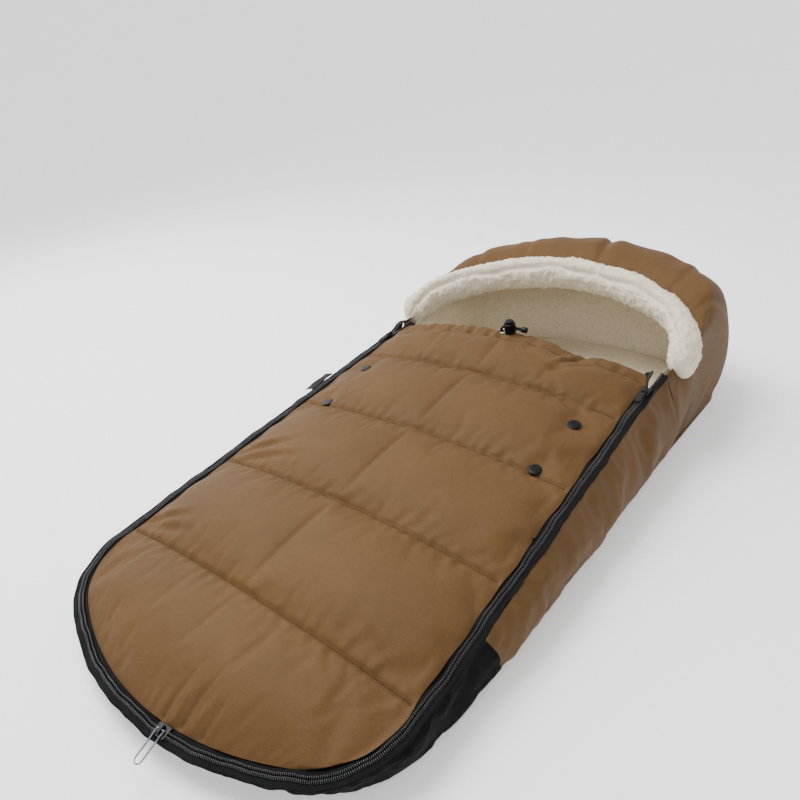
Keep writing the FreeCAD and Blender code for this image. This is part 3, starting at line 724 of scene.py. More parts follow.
split = int(np.argmin(np.abs(flat_y[:, columns // 2] - plain_row)))
for name, low, high_row, before, after, fold, stands_for in (
    ("lower_quilting", 0, split, "shell", "cover", cover_fold,
        ("toe_quilt", "toe_wadding", "cover_quilt", "cover_wadding")),
    ("upper_quilting", split, rows - 1, "cover", "flap", flap_fold,
        ("flap_quilt", "flap_wadding", "cover_hem", "drawcord")),
):
    part = filled[low : high_row + 1]
    quilt = piece_from(name, part.reshape(-1, 3), net(len(part), columns))
    quilt.data.materials.append(brown_cloth.material)
    refine(quilt, 2)
    sewn_shape(quilt)
    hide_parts(*stands_for)
    bend_row(fold - 0.028)
    bend_row(fold + 0.028)
    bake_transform(quilt)

# ---------------------------------------------------------------- Seam stitching
# Each channel is closed by a line of lock stitch in thread a shade darker than the cloth, sunk in its valley.
thread_brown = Finish("thread_brown", Roughness=0.75, Specular_IOR_Level=0.15)
thread_brown.feed(
    thread_brown.shader.inputs["Base Color"],
    thread_brown.ramp(thread_brown.grain(700.0), (0.3, tone(0.018, 0.0085, 0.0028)),
        (0.7, tone(0.040, 0.0190, 0.0066))),
)
thread_brown.bump(thread_brown.grain(2500.0), 0.0001, 0.5)
stitch_points = []
for k in range(5):
    t = k / 4
    centre = Vector((0.0, -0.00125 + 0.0025 * t, 0.00022 * math.sin(t * math.pi)))
    for c in range(5):
        a = c / 5 * 2 * math.pi
        size = 0.00034 * (0.55 + 0.45 * math.sin(t * math.pi))
        stitch_points.append(centre + Vector((size * math.cos(a), 0, size * math.sin(a))))
stitch_faces = net(5, 5, around=True) + [tuple(range(5))[::-1], tuple(range(20, 25))]
one_stitch = piece_from("one_stitch", stitch_points, stitch_faces)
for line, body in ((seams[0], None), (seams[1], "cover"), (seams[2], "cover"), (seams[3], "flap"),
    (hem_seam, "flap")):
    row = int(np.argmin(np.abs(flat_y[:, columns // 2] - line)))
    path = filled[row, 1:-1] - np.array([0, 0, 0.0012])
    sewn = repeat_along(
        "seam_stitching_%03d" % round(line * 1000), evenly(path, 0.004), one_stitch, 0.0034,
            thread_brown.material
    )
    if body is None:
        bend_row(cover_fold - 0.028)
        bend_row(cover_fold + 0.028)
        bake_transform(sewn)
    else:
        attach(sewn, body)
bpy.data.objects.remove(one_stitch)

# ---------------------------------------------------------------- Cover lining
# The cover's inside is short cream pile. It lies against the wadding and is seen when the cover is
# folded open.
short_pile = Finish("short_cream_pile", Roughness=0.9, Sheen_Weight=0.12, Sheen_Roughness=0.6,
    Specular_IOR_Level=0.15)
pile_curl_and_shade = short_pile.grain(190.0, 4.0, 0.62, 1.2)
fine_pile_and_shade = short_pile.grain(650.0, 3.0, 0.6, 0.6)
# The colour ramp follows the same noise as the bump: its dark end is painted shade in the pile's crevices, its light
# end the pile's own cream.
short_pile.feed(
    short_pile.shader.inputs["Base Color"],
    short_pile.ramp(
        pile_curl_and_shade * 0.6 + fine_pile_and_shade * 0.4,
        (0.30, tone(0.62, 0.52, 0.36)),
        (0.50, tone(0.80, 0.71, 0.54)),
        (0.68, tone(0.90, 0.83, 0.68)),
    ),
)
short_pile.bump(pile_curl_and_shade * 0.65 + fine_pile_and_shade * 0.35, 0.0040, 0.9)
under_plan = cover_net(-0.0095, 49, (0.150, plain_row, flap_fold, 0.6960), (14, 20, 14, 18))
ur, uc = under_plan.shape[:2]
under_half = np.abs(under_plan[:, -1, 0])[:, None]
under_high = cover_height(under_plan[..., 0], under_plan[..., 1], under_half) - 0.0135
drop = np.clip(1 - np.abs(under_plan[..., 0] / under_half) ** 8, 0, 1)
under_high = under_high * drop + (1 - drop) * -0.0040
nearest_toe = np.clip((under_plan[..., 1] - toe_edge(under_plan[..., 0], -0.0095)) / 0.02, 0, 1)
under_high = under_high * nearest_toe + (1 - nearest_toe) * -0.0040
under = on_cover(np.dstack([under_plan, under_high]))
under_split = int(np.argmin(np.abs(under_plan[:, uc // 2, 1] - plain_row)))
for name, low, high_row, before, after, fold, stands_for in (
    ("lower_cover_lining", 0, under_split, "shell", "cover", cover_fold, ("toe_lining", "cover_lining")),
    ("upper_cover_lining", under_split, ur - 1, "cover", "flap", flap_fold, ("flap_lining",)),
):
    part = under[low : high_row + 1]
    pile = piece_from(name, part.reshape(-1, 3), [f[::-1] for f in net(len(part), uc)])
    if pile.data.polygons[len(pile.data.polygons) // 2].normal.z > 0:
        pile.data.flip_normals()
    pile.data.materials.append(short_pile.material)
    refine(pile)
    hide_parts(*stands_for)
    bend_row(fold - 0.028)
    bend_row(fold + 0.028)
    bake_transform(pile)

# ---------------------------------------------------------------- Padded wall
# The wall that rises from the back to the zips: brown cloth down the sides and hard-wearing black
# cloth at the foot.
# It is filled softly, so it bellies out and puckers between its two seams.
black_cloth = Finish("black_hard_wearing_cloth", Roughness=0.9, Specular_IOR_Level=0.12)
black_weave = black_cloth.node(
    "ShaderNodeTexVoronoi", {}, {"Vector": black_cloth.place(), "Scale": 700.0}
)
black_cloth.feed(
    black_cloth.shader.inputs["Base Color"],
    black_cloth.ramp(black_weave * 0.6 + black_cloth.grain(60.0) * 0.4,
        (0.15, tone(0.0008, 0.0008, 0.0009)), (0.8, tone(0.0045, 0.0045, 0.0050))),
)
black_cloth.bump(black_weave, 0.0004, 0.6, black_cloth.bump(black_cloth.grain(45.0, 3.0), 0.002, 0.4))
foot_panel_end = 0.228
wall_levels = ((0.0100, 0.0, 1.0), (0.0245, 0.0114, 0.5), (0.0090, 0.0130, 0.0))


def wall_net(offsets, steps, counts=(26, 26, 74)):
    """The wall's surface: a net from the zip's tape, bellied out, down to the back, round the whole bag."""
    lines = []
    for outwards, tuck, share in offsets:
        flat = zip_line(outwards, tuck, 0.7, counts)
        slope = pitch * share
        height = 0.0004 + (toe_rest - 0.0004) * share
        y = flat[:, 1]
        lines.append(
            np.stack([flat[:, 0], y * math.cos(slope) - to_middle, height + y * math.sin(slope)], -1)
        )
    top, middle, bottom = lines
    t = np.linspace(0, 1, steps)[:, None, None]
    at_top = 2 * (t - 0.5) * (t - 1)
    at_middle = -4 * t * (t - 1)
    at_bottom = 2 * t * (t - 0.5)
    return at_top * top + at_middle * middle + at_bottom * bottom


slim_levels = ((0.0100, 0.0, 1.0), (0.0110, 0.0125, 0.5), (-0.0010, 0.0150, 0.0))
skin, slim = wall_net(wall_levels, 19), wall_net(slim_levels, 19)
from_foot = np.clip((skin[0, :, 1] + to_middle - 0.10) / 0.22, 0, 1)
from_foot = (from_foot * from_foot * (3 - 2 * from_foot))[None, :, None]
skin = slim + (skin - slim) * from_foot
deep, long = skin.shape[:2]
wall = piece_from("wall_skin", skin.reshape(-1, 3), net(deep, long))
held = np.zeros((deep, long))
held[0] = held[-1] = 1.0
held[-2] = 0.6
held[:, 0] = held[:, -1] = 1.0
swell(wall, held.ravel(), 0.6, 0.045, 16, 0.005)
skin = np.array([v.co for v in wall.data.vertices], float).reshape(deep, long, 3)
bpy.data.objects.remove(wall)
t = np.linspace(0, 1, deep)[:, None]
belly = np.sin(t * math.pi)
s = np.concatenate([[0], np.cumsum(np.linalg.norm(np.diff(skin[0], axis=0), axis=1))])[None]
outward = np.gradient(skin[0, :, :2], axis=0)
outward = np.stack([outward[:, 1], -outward[:, 0]], -1)
outward /= np.linalg.norm(outward, axis=1)[:, None]
tall = np.clip((skin[0, :, 2] - 0.035) / 0.06, 0.15, 1)[None]
folds = (
    np.sin(s * 88 + 6.0 * t + 1.8 * np.sin(s * 23)) + 0.7 * np.sin(s * 143 - 9.0 * t + 2.4 * np.sin(s * 37 + 1))
) * 0.0019 + 0.0022 * np.sin(s * 47 + 4.0 * t + 2.0)
fine = (
    np.sin(s * 260 + 14 * t + 2.0 * np.sin(s * 41)) + 0.7 * np.sin(s * 395 - 11 * t + 1.5 * np.sin(s * 67 + 2))
) * 0.00085 * np.exp(-((t - 0.12) / 0.16) ** 2)
push = folds * belly * tall * 0.8 + fine
skin[..., :2] += push[..., None] * outward[None]
skin[..., 2] = np.maximum(skin[..., 2], 0.0003)
toe_point = skin[0, :, 1] + to_middle
edge_of_black = foot_panel_end + 0.012
cut_left = int(np.argmax(toe_point < edge_of_black))
cut_right = long - 1 - int(np.argmax(toe_point[::-1] < edge_of_black))
for name, low, high_row, cloth, stands_for, place_slot in (
    ("left_wall_cloth", 0, cut_left, brown_cloth, ("side_panel_left", "wall_wadding"), "brown_fabric"),
    ("foot_wall_cloth", cut_left, cut_right, black_cloth, ("foot_panel",), "black_fabric"),
    ("right_wall_cloth", cut_right, long - 1, brown_cloth, ("side_panel_right",), "brown_fabric"),
):
    part = skin[:, low : high_row + 1]
    panel = piece_from(name, part.reshape(-1, 3), net(deep, part.shape[1]))
    if panel.data.polygons[len(panel.data.polygons) // 2].normal.dot(Vector((part[deep // 2,
        part.shape[1] // 2, 0], part[deep // 2, part.shape[1] // 2, 1] - 0.0, 0))) < 0:
        panel.data.flip_normals()
    panel.data.materials.append(cloth.material)
    refine(panel)
    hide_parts(*stands_for)
    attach(panel, "shell")

# The wall's inside face, in short pile, a wadding's thickness in.
inner = wall_net(((0.0030, 0.0, 1.0), (0.0088, 0.0114, 0.5), (-0.0040, 0.0130, 0.0)), 12, (20, 16, 50))
inner_slim = wall_net(((0.0030, 0.0, 1.0), (-0.0040, 0.0125, 0.5), (-0.0140, 0.0150, 0.0)), 12, (20, 16, 50))
from_foot = np.clip((inner[0, :, 1] + to_middle - 0.10) / 0.22, 0, 1)
from_foot = (from_foot * from_foot * (3 - 2 * from_foot))[None, :, None]
inner = inner_slim + (inner - inner_slim) * from_foot
inner[-1, :, 2] = 0.0150
inner[0, :, 2] -= 0.0045
inner_wall = piece_from("wall_lining_pile", inner.reshape(-1, 3), net(*inner.shape[:2]))
probe = inner_wall.data.polygons[len(inner_wall.data.polygons) // 3]
if probe.normal.x * probe.center.x > 0:
    inner_wall.data.flip_normals()
inner_wall.data.materials.append(short_pile.material)
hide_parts("wall_lining")
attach(inner_wall, "shell")

# ---------------------------------------------------------------- Raised hood
# The hood is one puffed brown shell round the head end, gathered into the rim and pinched by a
# dart over the crown.
# Its inside is short cream pile. It draws up over the head.
neck = 0.69208 - to_middle
rim_pivot = Vector((0.0, 0.21004, 0.1386))
rim_half, rim_reach, rim_tilt = 0.234, 0.150, math.radians(20.0)
centre_y = neck + 0.198
hood_half, hood_round, widest, top_height = 0.237, 0.116, 0.103, 0.227


def rim_point(a, out=0.0, lift=0.0):
    """A point on the rim's arch, moved outwards in its plane and lifted square to it."""
    across = (rim_half + out) * np.cos(a)
    reach = (rim_reach + out) * np.sin(a)
    return np.stack(
        [
            across,
            rim_pivot.y + reach * math.cos(rim_tilt) - lift * math.sin(rim_tilt),
            rim_pivot.z + reach * math.sin(rim_tilt) + lift * math.cos(rim_tilt),
        ],
        -1,
    )


def hood_plan(distance, inset=0.0):
    """Outer plan of the hood at its widest, by distance from the right side of the neck round to the left."""
    a = np.linspace(0, math.pi, 400)
    curve = np.stack([(hood_half - inset) * np.cos(a), centre_y + (hood_round - inset) * np.sin(a)], -1)
    path = np.concatenate(
        [[[hood_half - inset, neck]], curve, [[-(hood_half - inset), neck]]]
    )
    steps = np.linalg.norm(np.diff(path, axis=0), axis=1)
    run = np.concatenate([[0], np.cumsum(steps)])
    where = distance * run[-1]
    return np.stack([np.interp(where, run, path[:, 0]), np.interp(where, run, path[:, 1])], -1)


def hood_net(columns, inset, rim_out, rim_lift, floor_height):
    """The hood's surface from the floor, out to its widest, up and over to the rim."""
    share = np.linspace(0, 1, columns)
    wide = hood_plan(share, inset)
    turning = np.clip((share - 0.052) / (1 - 2 * 0.052), 0, 1) * math.pi
    rim = rim_point(turning, rim_out, rim_lift)
    cheek = wide[:, 1] < rim_pivot.y
    rim[cheek, 0] = wide[cheek, 0] * 0.965
    rim[cheek, 1] = wide[cheek, 1]
    rim[cheek, 2] = 0.1365 - inset * 0.5
    drawn_in = math.sqrt(1 - ((widest - floor_height) / 0.300) ** 2)
    low = np.stack([wide[:, 0] * drawn_in, centre_y + (wide[:, 1] - centre_y) * drawn_in,
        np.full(columns, floor_height)], -1)
    low[:, 1] = np.where(wide[:, 1] < centre_y, wide[:, 1], low[:, 1])
    belt = np.column_stack([wide, np.full(columns, widest)])
    rows = []
    for t in np.linspace(0, 1, 9)[:-1]:
        lean = math.sin(t * math.pi / 2)
        row = low + (belt - low) * np.array([lean, lean, 0])
        row[:, 2] = floor_height + (widest - floor_height) * t
        rows.append(row)
    over = np.sin(turning) ** 0.9
    peak = (top_height - inset - widest) * over
    lift = 0.022 + peak * 0.74
    first = belt + np.stack([np.zeros(columns), np.zeros(columns), lift], -1)
    toward = rim - belt
    toward[:, 2] = 0
    second = rim.copy()
    second[:, :2] -= toward[:, :2] * 0.42
    second[:, 2] += 0.004 + peak * 0.50
    for t in np.linspace(0, 1, 19):
        rows.append(
            (1 - t) ** 3 * belt + 3 * (1 - t) ** 2 * t * first + 3 * (1 - t) * t * t * second + t**3 * rim
        )
    rows = np.stack(rows)
    end = np.clip(1 - np.minimum(share, 1 - share) / 0.075, 0, 1)
    end = (end * end * (3 - 2 * end))[None]
    level = np.clip(rows[..., 2] / 0.137, 0, 1)
    section = 0.009 + level * (4 * 0.0245 - 0.0100 - 3 * 0.009) + level**2 * (2 * 0.0100 + 2 * 0.009 - 4 * 0.0245)
    wall_x = np.sign(rows[..., 0]) * (half_neck + section - inset)
    rows[..., 0] += (wall_x - rows[..., 0]) * end
    return rows


shell_net = hood_net(121, 0.0, 0.012, 0.006, 0.0008)
hood_rows, hood_columns = shell_net.shape[:2]
hood = piece_from("hood_skin", shell_net.reshape(-1, 3), net(hood_rows, hood_columns))
held = np.zeros((hood_rows, hood_columns))
held[0] = held[-1] = 1.0
held[:, 0] = held[:, -1] = 1.0
swell(hood, held.ravel(), 0.8, 0.030, 16, 0.004)
shell_net = np.array([v.co for v in hood.data.vertices], float).reshape(hood_rows, hood_columns, 3)
bpy.data.objects.remove(hood)
up_share = np.linspace(0, 1, hood_rows)[:, None]
round_share = np.linspace(0, 1, hood_columns)[None]
into = shell_net - np.array([0, centre_y - 0.06, 0.09])
into /= np.linalg.norm(into, axis=2)[..., None]
upper = np.clip((up_share - 0.38) / 0.25, 0, 1)
for where, wide, deep_in in ((0.478, 0.0075, 0.011), (0.300, 0.010, 0.005), (0.635, 0.010, 0.006),
    (0.74, 0.009, 0.005), (0.21, 0.010, 0.004)):
    line = where + 0.010 * np.sin(up_share * 5)
    pinch = np.exp(-(((round_share - line) / wide) ** 2)) * upper
    bulge = np.exp(-(((round_share - line) / (wide * 5)) ** 2)) * upper
    shell_net += into * (-(deep_in * pinch) + deep_in * 0.35 * bulge)[..., None]
gather = np.exp(-(((1 - up_share) / 0.09) ** 2))
shell_net += into * (
    gather * 0.0018 * (np.sin(round_share * 190) + 0.6 * np.sin(round_share * 317 + 1.3))
)[..., None]
shell_net += into * (
    np.sin(up_share * math.pi) * 0.0016 * np.sin(round_share * 75 + 5 * up_share + 2 * np.sin(round_share * 21))
)[..., None]
shell_net[..., 2] = np.maximum(shell_net[..., 2], 0.0004)
hood = piece_from("hood_cloth", shell_net.reshape(-1, 3), net(hood_rows, hood_columns))
probe = hood.data.polygons[(hood_rows // 2) * (hood_columns - 1) + hood_columns // 2]
if probe.normal.y < 0:
    hood.data.flip_normals()
hood.data.materials.append(brown_cloth.material)
refine(hood)
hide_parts("head_wall", "head_wall_wadding", "hood_canopy", "hood_canopy_wadding")
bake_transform(hood)

hood_inside = hood_net(81, 0.016, -0.006, -0.006, 0.0155)
inside_rows, inside_columns = hood_inside.shape[:2]
flutter = np.array(
    [noise.noise(Vector(tuple(p)) * 16.0) for p in hood_inside.reshape(-1, 3)]
).reshape(inside_rows, inside_columns)
hood_inside[..., 1] -= 0.004 * flutter
hood_lining = piece_from("hood_lining_pile", hood_inside.reshape(-1, 3), net(inside_rows, inside_columns))
probe = hood_lining.data.polygons[(inside_rows // 2) * (inside_columns - 1) + inside_columns // 2]
if probe.normal.y > 0:
    hood_lining.data.flip_normals()
hood_lining.data.materials.append(short_pile.material)
refine(hood_lining)
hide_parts("head_wall_lining", "hood_canopy_lining")
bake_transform(hood_lining)

# ---------------------------------------------------------------- Pile rim
# A thick roll of curly cream pile round the hood's mouth, sewn in two lobes with a crease between them.
curly_pile = Finish("curly_cream_pile", Roughness=0.95, Sheen_Weight=0.15, Sheen_Roughness=0.7,
    Specular_IOR_Level=0.1)
curl_and_shade = curly_pile.grain(230.0, 4.0, 0.65, 1.8)
fine_curl_and_shade = curly_pile.grain(800.0, 3.0, 0.6, 0.8)
# The colour ramp follows the same noise as the bump: its dark end is painted shade in the crevices between the
# curls, its light end the pile's own cream.
curly_pile.feed(
    curly_pile.shader.inputs["Base Color"],
    curly_pile.ramp(
        curl_and_shade * 0.6 + fine_curl_and_shade * 0.4,
        (0.28, tone(0.60, 0.46, 0.28)),
        (0.42, tone(0.88, 0.77, 0.56)),
        (0.60, tone(0.95, 0.88, 0.70)),
    ),
)
curly_pile.bump(curl_and_shade * 0.6 + fine_curl_and_shade * 0.4, 0.0050, 1.0)
roll_turns, roll_steps = 84, 420
ends = 0.085
a = np.linspace(-ends, math.pi + ends, roll_steps)
spine = rim_point(a)
spine_out = rim_point(a, 0.01) - spine
heading = np.gradient(spine, axis=0)
heading /= np.linalg.norm(heading, axis=1)[:, None]
square = np.array([0.0, -math.sin(rim_tilt), math.cos(rim_tilt)])
outwards = np.cross(heading, square)
outwards *= np.sign((outwards * spine_out).sum(1))[:, None]
b = np.linspace(0, 2 * math.pi, roll_turns, endpoint=False)
lobe = 1 - 0.06 * np.exp(-(((b - 4.6) / 0.3) ** 2))
run = np.concatenate([[0], np.cumsum(np.linalg.norm(np.diff(spine, axis=0), axis=1))])
wander = 2.25 + 0.10 * np.sin(run * 31) + 0.07 * np.sin(run * 83 + 1.0)
lobe = lobe[None] - (0.26 + 0.05 * np.sin(run * 47))[:,
    None] * np.exp(-(((b[None] - wander[:, None]) / 0.22) ** 2))
cap = np.sqrt(np.clip(1 - np.clip((0.020 - np.minimum(run, run[-1] - run)) / 0.020, 0, 1) ** 2, 0.0016, 1))
roll = (
    spine[:, None]
    + outwards[:, None] * (0.0188 * np.cos(b) * lobe * cap[:, None])[..., None]
    + square * (0.0268 * np.sin(b) * lobe * cap[:, None])[..., None]
)
middle = spine[:, None]
away = roll - middle
away /= np.maximum(np.linalg.norm(away, axis=2), 1e-6)[..., None]
tuft = np.array(
    [
        0.55 * noise.noise(Vector(tuple(p)) * 95.0)
        + 0.75 * abs(noise.noise(Vector(tuple(p)) * 170.0 + Vector((3, 1, 2))))
        + 0.30 * noise.noise(Vector(tuple(p)) * 380.0 + Vector((1, 5, 9)))
        for p in roll.reshape(-1, 3)
    ]
).reshape(roll.shape[:2])
slow = np.array([noise.noise(Vector(tuple(p)) * 22.0) for p in roll.reshape(-1, 3)]).reshape(roll.shape[:2])
roll = roll + away * (0.0040 * tuft + 0.0030 * slow)[..., None] * cap[:, None, None]
faces = net(roll_steps, roll_turns, around=True)
faces.append(tuple(range(roll_turns))[::-1])
faces.append(tuple(range((roll_steps - 1) * roll_turns, roll_steps * roll_turns)))
rim = piece_from("pile_rim", roll.reshape(-1, 3), faces)
rim.data.materials.append(curly_pile.material)
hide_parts("hood_rim", "hood_rim_core")
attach(rim, "rim")

# ---------------------------------------------------------------- Back and its lining
# The back is a flat quilted pad: brown cloth below, black at the foot, short cream pile above.
# Five slots let a pushchair's harness through, each bound with tape.
base_seam = 0.200
slots = ((-0.060, 0.600, 0.120), (0.060, 0.600, 0.120), (-0.120, 0.330, 0.060), (0.120, 0.330, 0.060),
    (0.0, 0.250, 0.070))


def back_plan(outwards, inset, height, count=90):
    """Plan of the back: the wall's foot line, straight on past the neck, with a rounded head."""
    body = zip_line(outwards, 0.013, 0.69208, (20, 18, 30))
    slim = zip_line(outwards - 0.0105, 0.015, 0.69208, (20, 18, 30))
    share = np.clip((body[:, 1:] - 0.10) / 0.22, 0, 1)
    body = slim + (body - slim) * share * share * (3 - 2 * share)
    drawn_in = math.sqrt(1 - ((widest - height) / 0.300) ** 2)
    a = np.linspace(0, math.pi, count)
    head = np.stack(
        [(hood_half - inset) * drawn_in * np.cos(a),
            centre_y + to_middle + (hood_round - inset) * drawn_in * np.sin(a)], -1
    )
    path = np.concatenate([body, head])
    return evenly(np.concatenate([path, path[:1]]), 0.008)[:-1]


def slotted_pad(name, outwards, inset, low, high, crown):
    """A flat pad with its slots cut through and its rim turned down."""
    path = back_plan(outwards, inset, 0.002)
    path[:, 1] -= to_middle
    work = bmesh.new()
    ring = [work.verts.new((x, y, high)) for x, y in path]
    work.faces.new(ring)
    for y in np.arange(-0.50, 0.52, 0.02):
        bmesh.ops.bisect_plane(
            work, geom=work.verts[:] + work.edges[:] + work.faces[:], plane_co=(0, y, 0), plane_no=(0, 1, 0)
        )
    for x in np.arange(-0.24, 0.25, 0.02):
        bmesh.ops.bisect_plane(
            work, geom=work.verts[:] + work.edges[:] + work.faces[:], plane_co=(x, 0, 0), plane_no=(1, 0, 0)
        )
    for x, y, length in slots:
        y -= to_middle
        for place, normal in (
            ((x - 0.008, 0, 0), (1, 0, 0)),
            ((x + 0.008, 0, 0), (1, 0, 0)),
            ((0, y - length / 2, 0), (0, 1, 0)),
            ((0, y + length / 2, 0), (0, 1, 0)),
        ):
            bmesh.ops.bisect_plane(
                work, geom=work.verts[:] + work.edges[:] + work.faces[:], plane_co=place, plane_no=normal
            )
    holes = []
    for face in work.faces:
        centre = face.calc_center_median()
        for x, y, length in slots:
            if abs(centre.x - x) < 0.008 and abs(centre.y - y + to_middle) < length / 2:
                holes.append(face)
    bmesh.ops.delete(work, geom=holes, context="FACES")
    for vertex in work.verts:
        x, y = vertex.co.x, vertex.co.y + to_middle
        vertex.co.z += crown * noise.noise(Vector((x * 14, y * 14, high * 90)))
    solid = bmesh.ops.extrude_face_region(work, geom=work.faces[:])
    for item in solid["geom"]:
        if isinstance(item, bmesh.types.BMVert):
            item.co.z = low
    bmesh.ops.recalc_face_normals(work, faces=work.faces)
    mesh = bpy.data.meshes.new(name)
    work.to_mesh(mesh)
    work.free()
    mesh.polygons.foreach_set("use_smooth", [True] * len(mesh.polygons))
    piece = bpy.data.objects.new(name, mesh)
    bpy.context.scene.collection.objects.link(piece)
    return piece


back = slotted_pad("back_pad", 0.0082, 0.0, 0.0, 0.0040, 0.0)
back.data.materials.append(brown_cloth.material)
back.data.materials.append(black_cloth.material)
for face in back.data.polygons:
    face.material_index = 1 if face.center.y < base_seam - to_middle else 0
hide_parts("back_panel", "foot_base", "back_wadding")
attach(back, "shell")
bed = slotted_pad("back_lining_pile", 0.0005, 0.0085, 0.0045, 0.0150, 0.0030)
bed.data.materials.append(short_pile.material)
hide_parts("back_lining")
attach(bed, "shell")

# ---------------------------------------------------------------- Press studs
# Two pairs of black moulded studs hold the top of the cover down when it is folded. Each cap is a
# flat domed disc.
moulded_black = Finish("moulded_black", Roughness=0.45, Specular_IOR_Level=0.16)
moulded_black.feed(
    moulded_black.shader.inputs["Base Color"],
    moulded_black.ramp(moulded_black.grain(120.0), (0.3, tone(0.0016, 0.0016, 0.0018)),
        (0.8, tone(0.0048, 0.0048, 0.0053))),
)
moulded_black.feed(moulded_black.shader.inputs["Roughness"], moulded_black.grain(400.0) * 0.2 + 0.28)
moulded_black.bump(moulded_black.grain(1100.0), 0.0001, 0.35)


def turned(name, profile, sides=48):
    """A round piece from its profile of radius and height, closed on its axis."""
    points, faces = [], []
    for radius, height in profile:
        for k in range(sides):
            a = 2 * math.pi * k / sides
            points.append((radius * math.cos(a), radius * math.sin(a), height))
    faces = net(len(profile), sides, around=True)
    faces.append(tuple(range(sides))[::-1])
    faces.append(tuple(range((len(profile) - 1) * sides, len(profile) * sides)))
    return piece_from(name, points, faces)


def put_down(piece, place, up, ahead=(0, 1, 0)):
    """Moves a piece's mesh so that it stands at a place with its axis along a direction."""
    up = Vector(up).normalized()
    side = Vector(ahead).cross(up).normalized()
    front = up.cross(side)
    piece.data.transform(
        Matrix.Translation(Vector(place))
        @ Matrix(((side.x, front.x, up.x, 0), (side.y, front.y, up.y, 0), (side.z, front.z, up.z, 0),
            (0, 0, 0, 1)))
    )
    return piece


cap_profile = (
    (0.0003, 0.0027), (0.0040, 0.0027), (0.0064, 0.0026), (0.0074, 0.0024), (0.0081, 0.0020),
        (0.0084, 0.0013),
    (0.0083, 0.0005), (0.0078, 0.0), (0.0003, 0.0),
)
cover_up = Vector((0, -math.sin(pitch), math.cos(pitch)))
for row, body, names in (
    (stud_rows[0], "cover", ("lower_stud_caps", "lower_stud_sockets")),
    (stud_rows[1], "flap", ("upper_stud_caps", "upper_stud_sockets")),
):
    for side, hand in ((-1, "left"), (1, "right")):
        distance = (plan[..., 0] - side * stud_x) ** 2 + (flat_y - row) ** 2
        i, j = np.unravel_index(int(np.argmin(distance)), distance.shape)
        place = Vector(filled[i, j])
        lean = Vector((side * 0.16, 0, 0)) + cover_up
        cap_piece = put_down(turned(names[0][:-1] + "_" + hand, cap_profile), place + cover_up * 0.0005, lean)
        cap_piece.data.materials.append(moulded_black.material)
        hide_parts(names[0])
        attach(cap_piece, body)
        inner_at = place - cover_up * 0.0158
        socket_profile = (
            (0.0003, 0.0), (0.0055, 0.0), (0.0064, -0.0006), (0.0066, -0.0016), (0.0058, -0.0028),
            (0.0040, -0.0031), (0.0032, -0.0026), (0.0024, -0.0024), (0.0003, -0.0024),
        )
        socket = put_down(turned(names[1][:-1] + "_" + hand, socket_profile), inner_at, lean)
        socket.data.materials.append(moulded_black.material)
        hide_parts(names[1])
        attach(socket, body)

# ---------------------------------------------------------------- Side label
# A blank black woven label, folded and caught in the left wall's seam.
label_x = (
    corner_x + corner_radius * math.cos(taper)
    - (0.506 - corner_y - corner_radius * math.sin(taper)) * math.tan(taper)
)
u = np.linspace(0, 1, 13)
v = np.linspace(-0.023, 0.023, 15)
label_points = []
for k in u:
    for m in v:
        droop = 0.35 * k + 0.25 * k * k
        label_points.append(
            (-label_x - 0.0100 - 0.0215 * k, 0.506 + m + 0.0012 * k,
                0.0018 - 0.012 * droop + 0.0006 * math.sin(m * 180 + 2 * k))
        )
label = piece_from("side_label_tag", on_cover(np.array(label_points)), net(13, 15))
thick = label.modifiers.new("thick", "SOLIDIFY")
thick.thickness = 0.0010
ready = label.evaluated_get(bpy.context.evaluated_depsgraph_get())
thicker = bpy.data.meshes.new_from_object(ready)
label.modifiers.remove(thick)
label.data = thicker
label_black = Finish("label_black", Roughness=0.7, Specular_IOR_Level=0.15)
label_weave = label_black.node(
    "ShaderNodeTexWave", {"bands_direction": "Y"},
        {"Vector": label_black.place(), "Scale": 420.0, "Distortion": 0.6}, out=1
)
label_black.feed(
    label_black.shader.inputs["Base Color"],
    label_black.ramp(label_weave, (0.1, tone(0.0012, 0.0012, 0.0014)), (0.9, tone(0.0050, 0.0050, 0.0055))),
)
label_black.bump(label_weave, 0.0003, 0.6)
label.data.materials.clear()
label.data.materials.append(label_black.material)
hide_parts("side_label")
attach(label, "shell")

# ---------------------------------------------------------------- Moulded and metal parts from the frame
# The sliders, pulls, cord lock, cord and bindings keep their own shapes and take their real finishes.
lacquer = Finish("black_lacquered_zinc", Metallic=0.25, Roughness=0.32, Specular_IOR_Level=0.35)
lacquer.feed(
    lacquer.shader.inputs["Base Color"],
    lacquer.ramp(lacquer.grain(200.0), (0.3, tone(0.0025, 0.0025, 0.0028)),
        (0.8, tone(0.0085, 0.0085, 0.0095))),
)
lacquer.bump(lacquer.grain(900.0), 0.0001, 0.4)
steel = Finish("bare_steel_wire", Metallic=1.0, Roughness=0.28)
steel.feed(
    steel.shader.inputs["Base Color"],
    steel.ramp(steel.grain(500.0), (0.3, tone(0.16, 0.16, 0.17)), (0.8, tone(0.34, 0.34, 0.36))),
)
steel.bump(steel.grain(1200.0), 0.0001, 0.3)
buttonhole = Finish("buttonhole_thread", Roughness=0.7, Sheen_Weight=0.2)
hole_thread = buttonhole.grain(900.0)
buttonhole.feed(
    buttonhole.shader.inputs["Base Color"],
    buttonhole.ramp(hole_thread, (0.3, tone(0.42, 0.35, 0.26)), (0.7, tone(0.66, 0.58, 0.47))),
)
buttonhole.bump(hole_thread, 0.0004, 0.8)
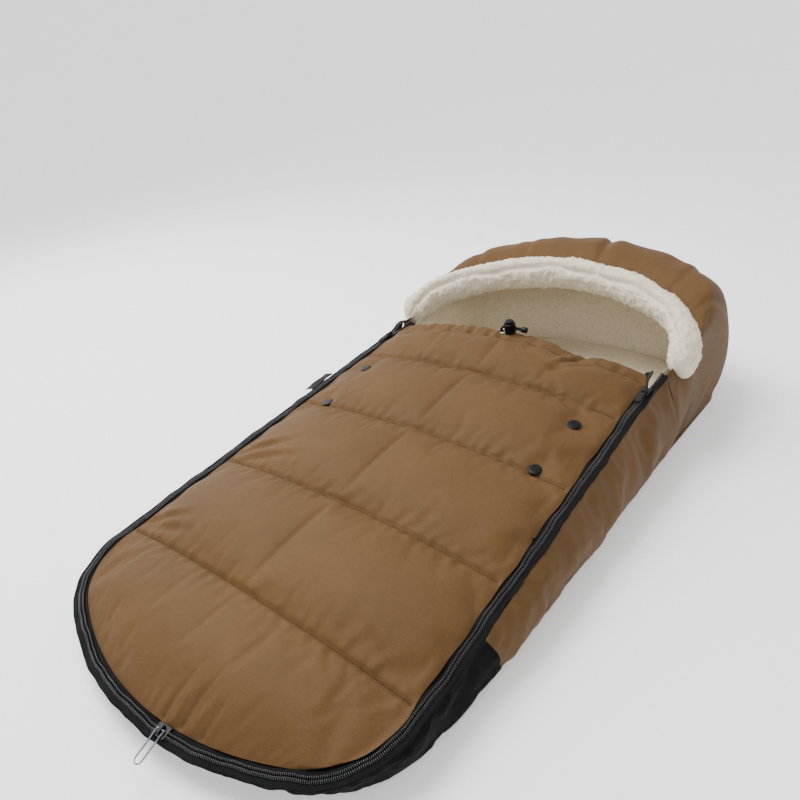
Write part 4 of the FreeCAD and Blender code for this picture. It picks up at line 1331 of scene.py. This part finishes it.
for node, finish in (
    ("left_slider", lacquer), ("right_slider", lacquer), ("toe_slider", lacquer),
    ("left_pull", lacquer), ("right_pull", lacquer), ("toe_pull", steel),
    ("cord_lock_body", moulded_black), ("cord_lock_plunger", moulded_black), ("cord_end", moulded_black),
    ("cord_lock_spring", steel), ("drawcord_tail", tape_black),
    ("drawcord_eyelet", buttonhole), ("slot_bindings", tape_black),
):
    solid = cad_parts[node]
    solid.data.materials.clear()
    solid.data.materials.append(finish.material)

# ---------------------------------------------------------------- Floor and light
# A pale floor and soft, even studio light from above, a little stronger from the head end's left.
floor_white = Finish(
    "floor_white", Roughness=0.9, Base_Color=tone(0.9, 0.9, 0.9), Emission_Color=tone(1, 1, 1),
        Emission_Strength=0.35
)
profile = [(r, 0.0) for r in (0.0, 0.8, 1.6, 2.4)]
profile += [(2.4 + 1.2 * math.sin(a), 1.2 - 1.2 * math.cos(a)) for a in np.linspace(0.15, math.pi / 2,
    10)] + [(3.6, 4.0)]
floor_points = []
for k in range(97):
    a = 2 * math.pi * k / 96
    raised = 0.5 + 0.5 * math.tanh(3.0 * (math.cos(a - math.radians(134)) + 0.35))
    floor_points += [(r * math.cos(a), r * math.sin(a), h * raised - 0.0005) for r, h in profile]
floor = piece_from("floor", floor_points, net(97, len(profile)))
floor.data.materials.append(floor_white.material)
sky = bpy.data.worlds.new("sky")
bpy.context.scene.world = sky
sky.use_nodes = True
sky.node_tree.nodes["Background"].inputs["Color"].default_value = tone(0.97, 0.98, 1.0)
sky.node_tree.nodes["Background"].inputs["Strength"].default_value = 0.62
for name, place, size, power in (
    ("soft_box_over", (-0.7, -0.2, 2.0), 1.3, 70.0),
    ("soft_box_left", (-1.9, 0.2, 1.2), 1.2, 18.0),
    ("soft_box_front", (0.9, -1.9, 1.6), 1.2, 16.0),
):
    lamp = bpy.data.lights.new(name, "AREA")
    lamp.size = size
    lamp.energy = power
    holder = bpy.data.objects.new(name, lamp)
    bpy.context.scene.collection.objects.link(holder)
    holder.location = place
    holder.rotation_euler = (Vector((0, 0.05, 0.05)) - Vector(place)).to_track_quat("-Z", "Y").to_euler()
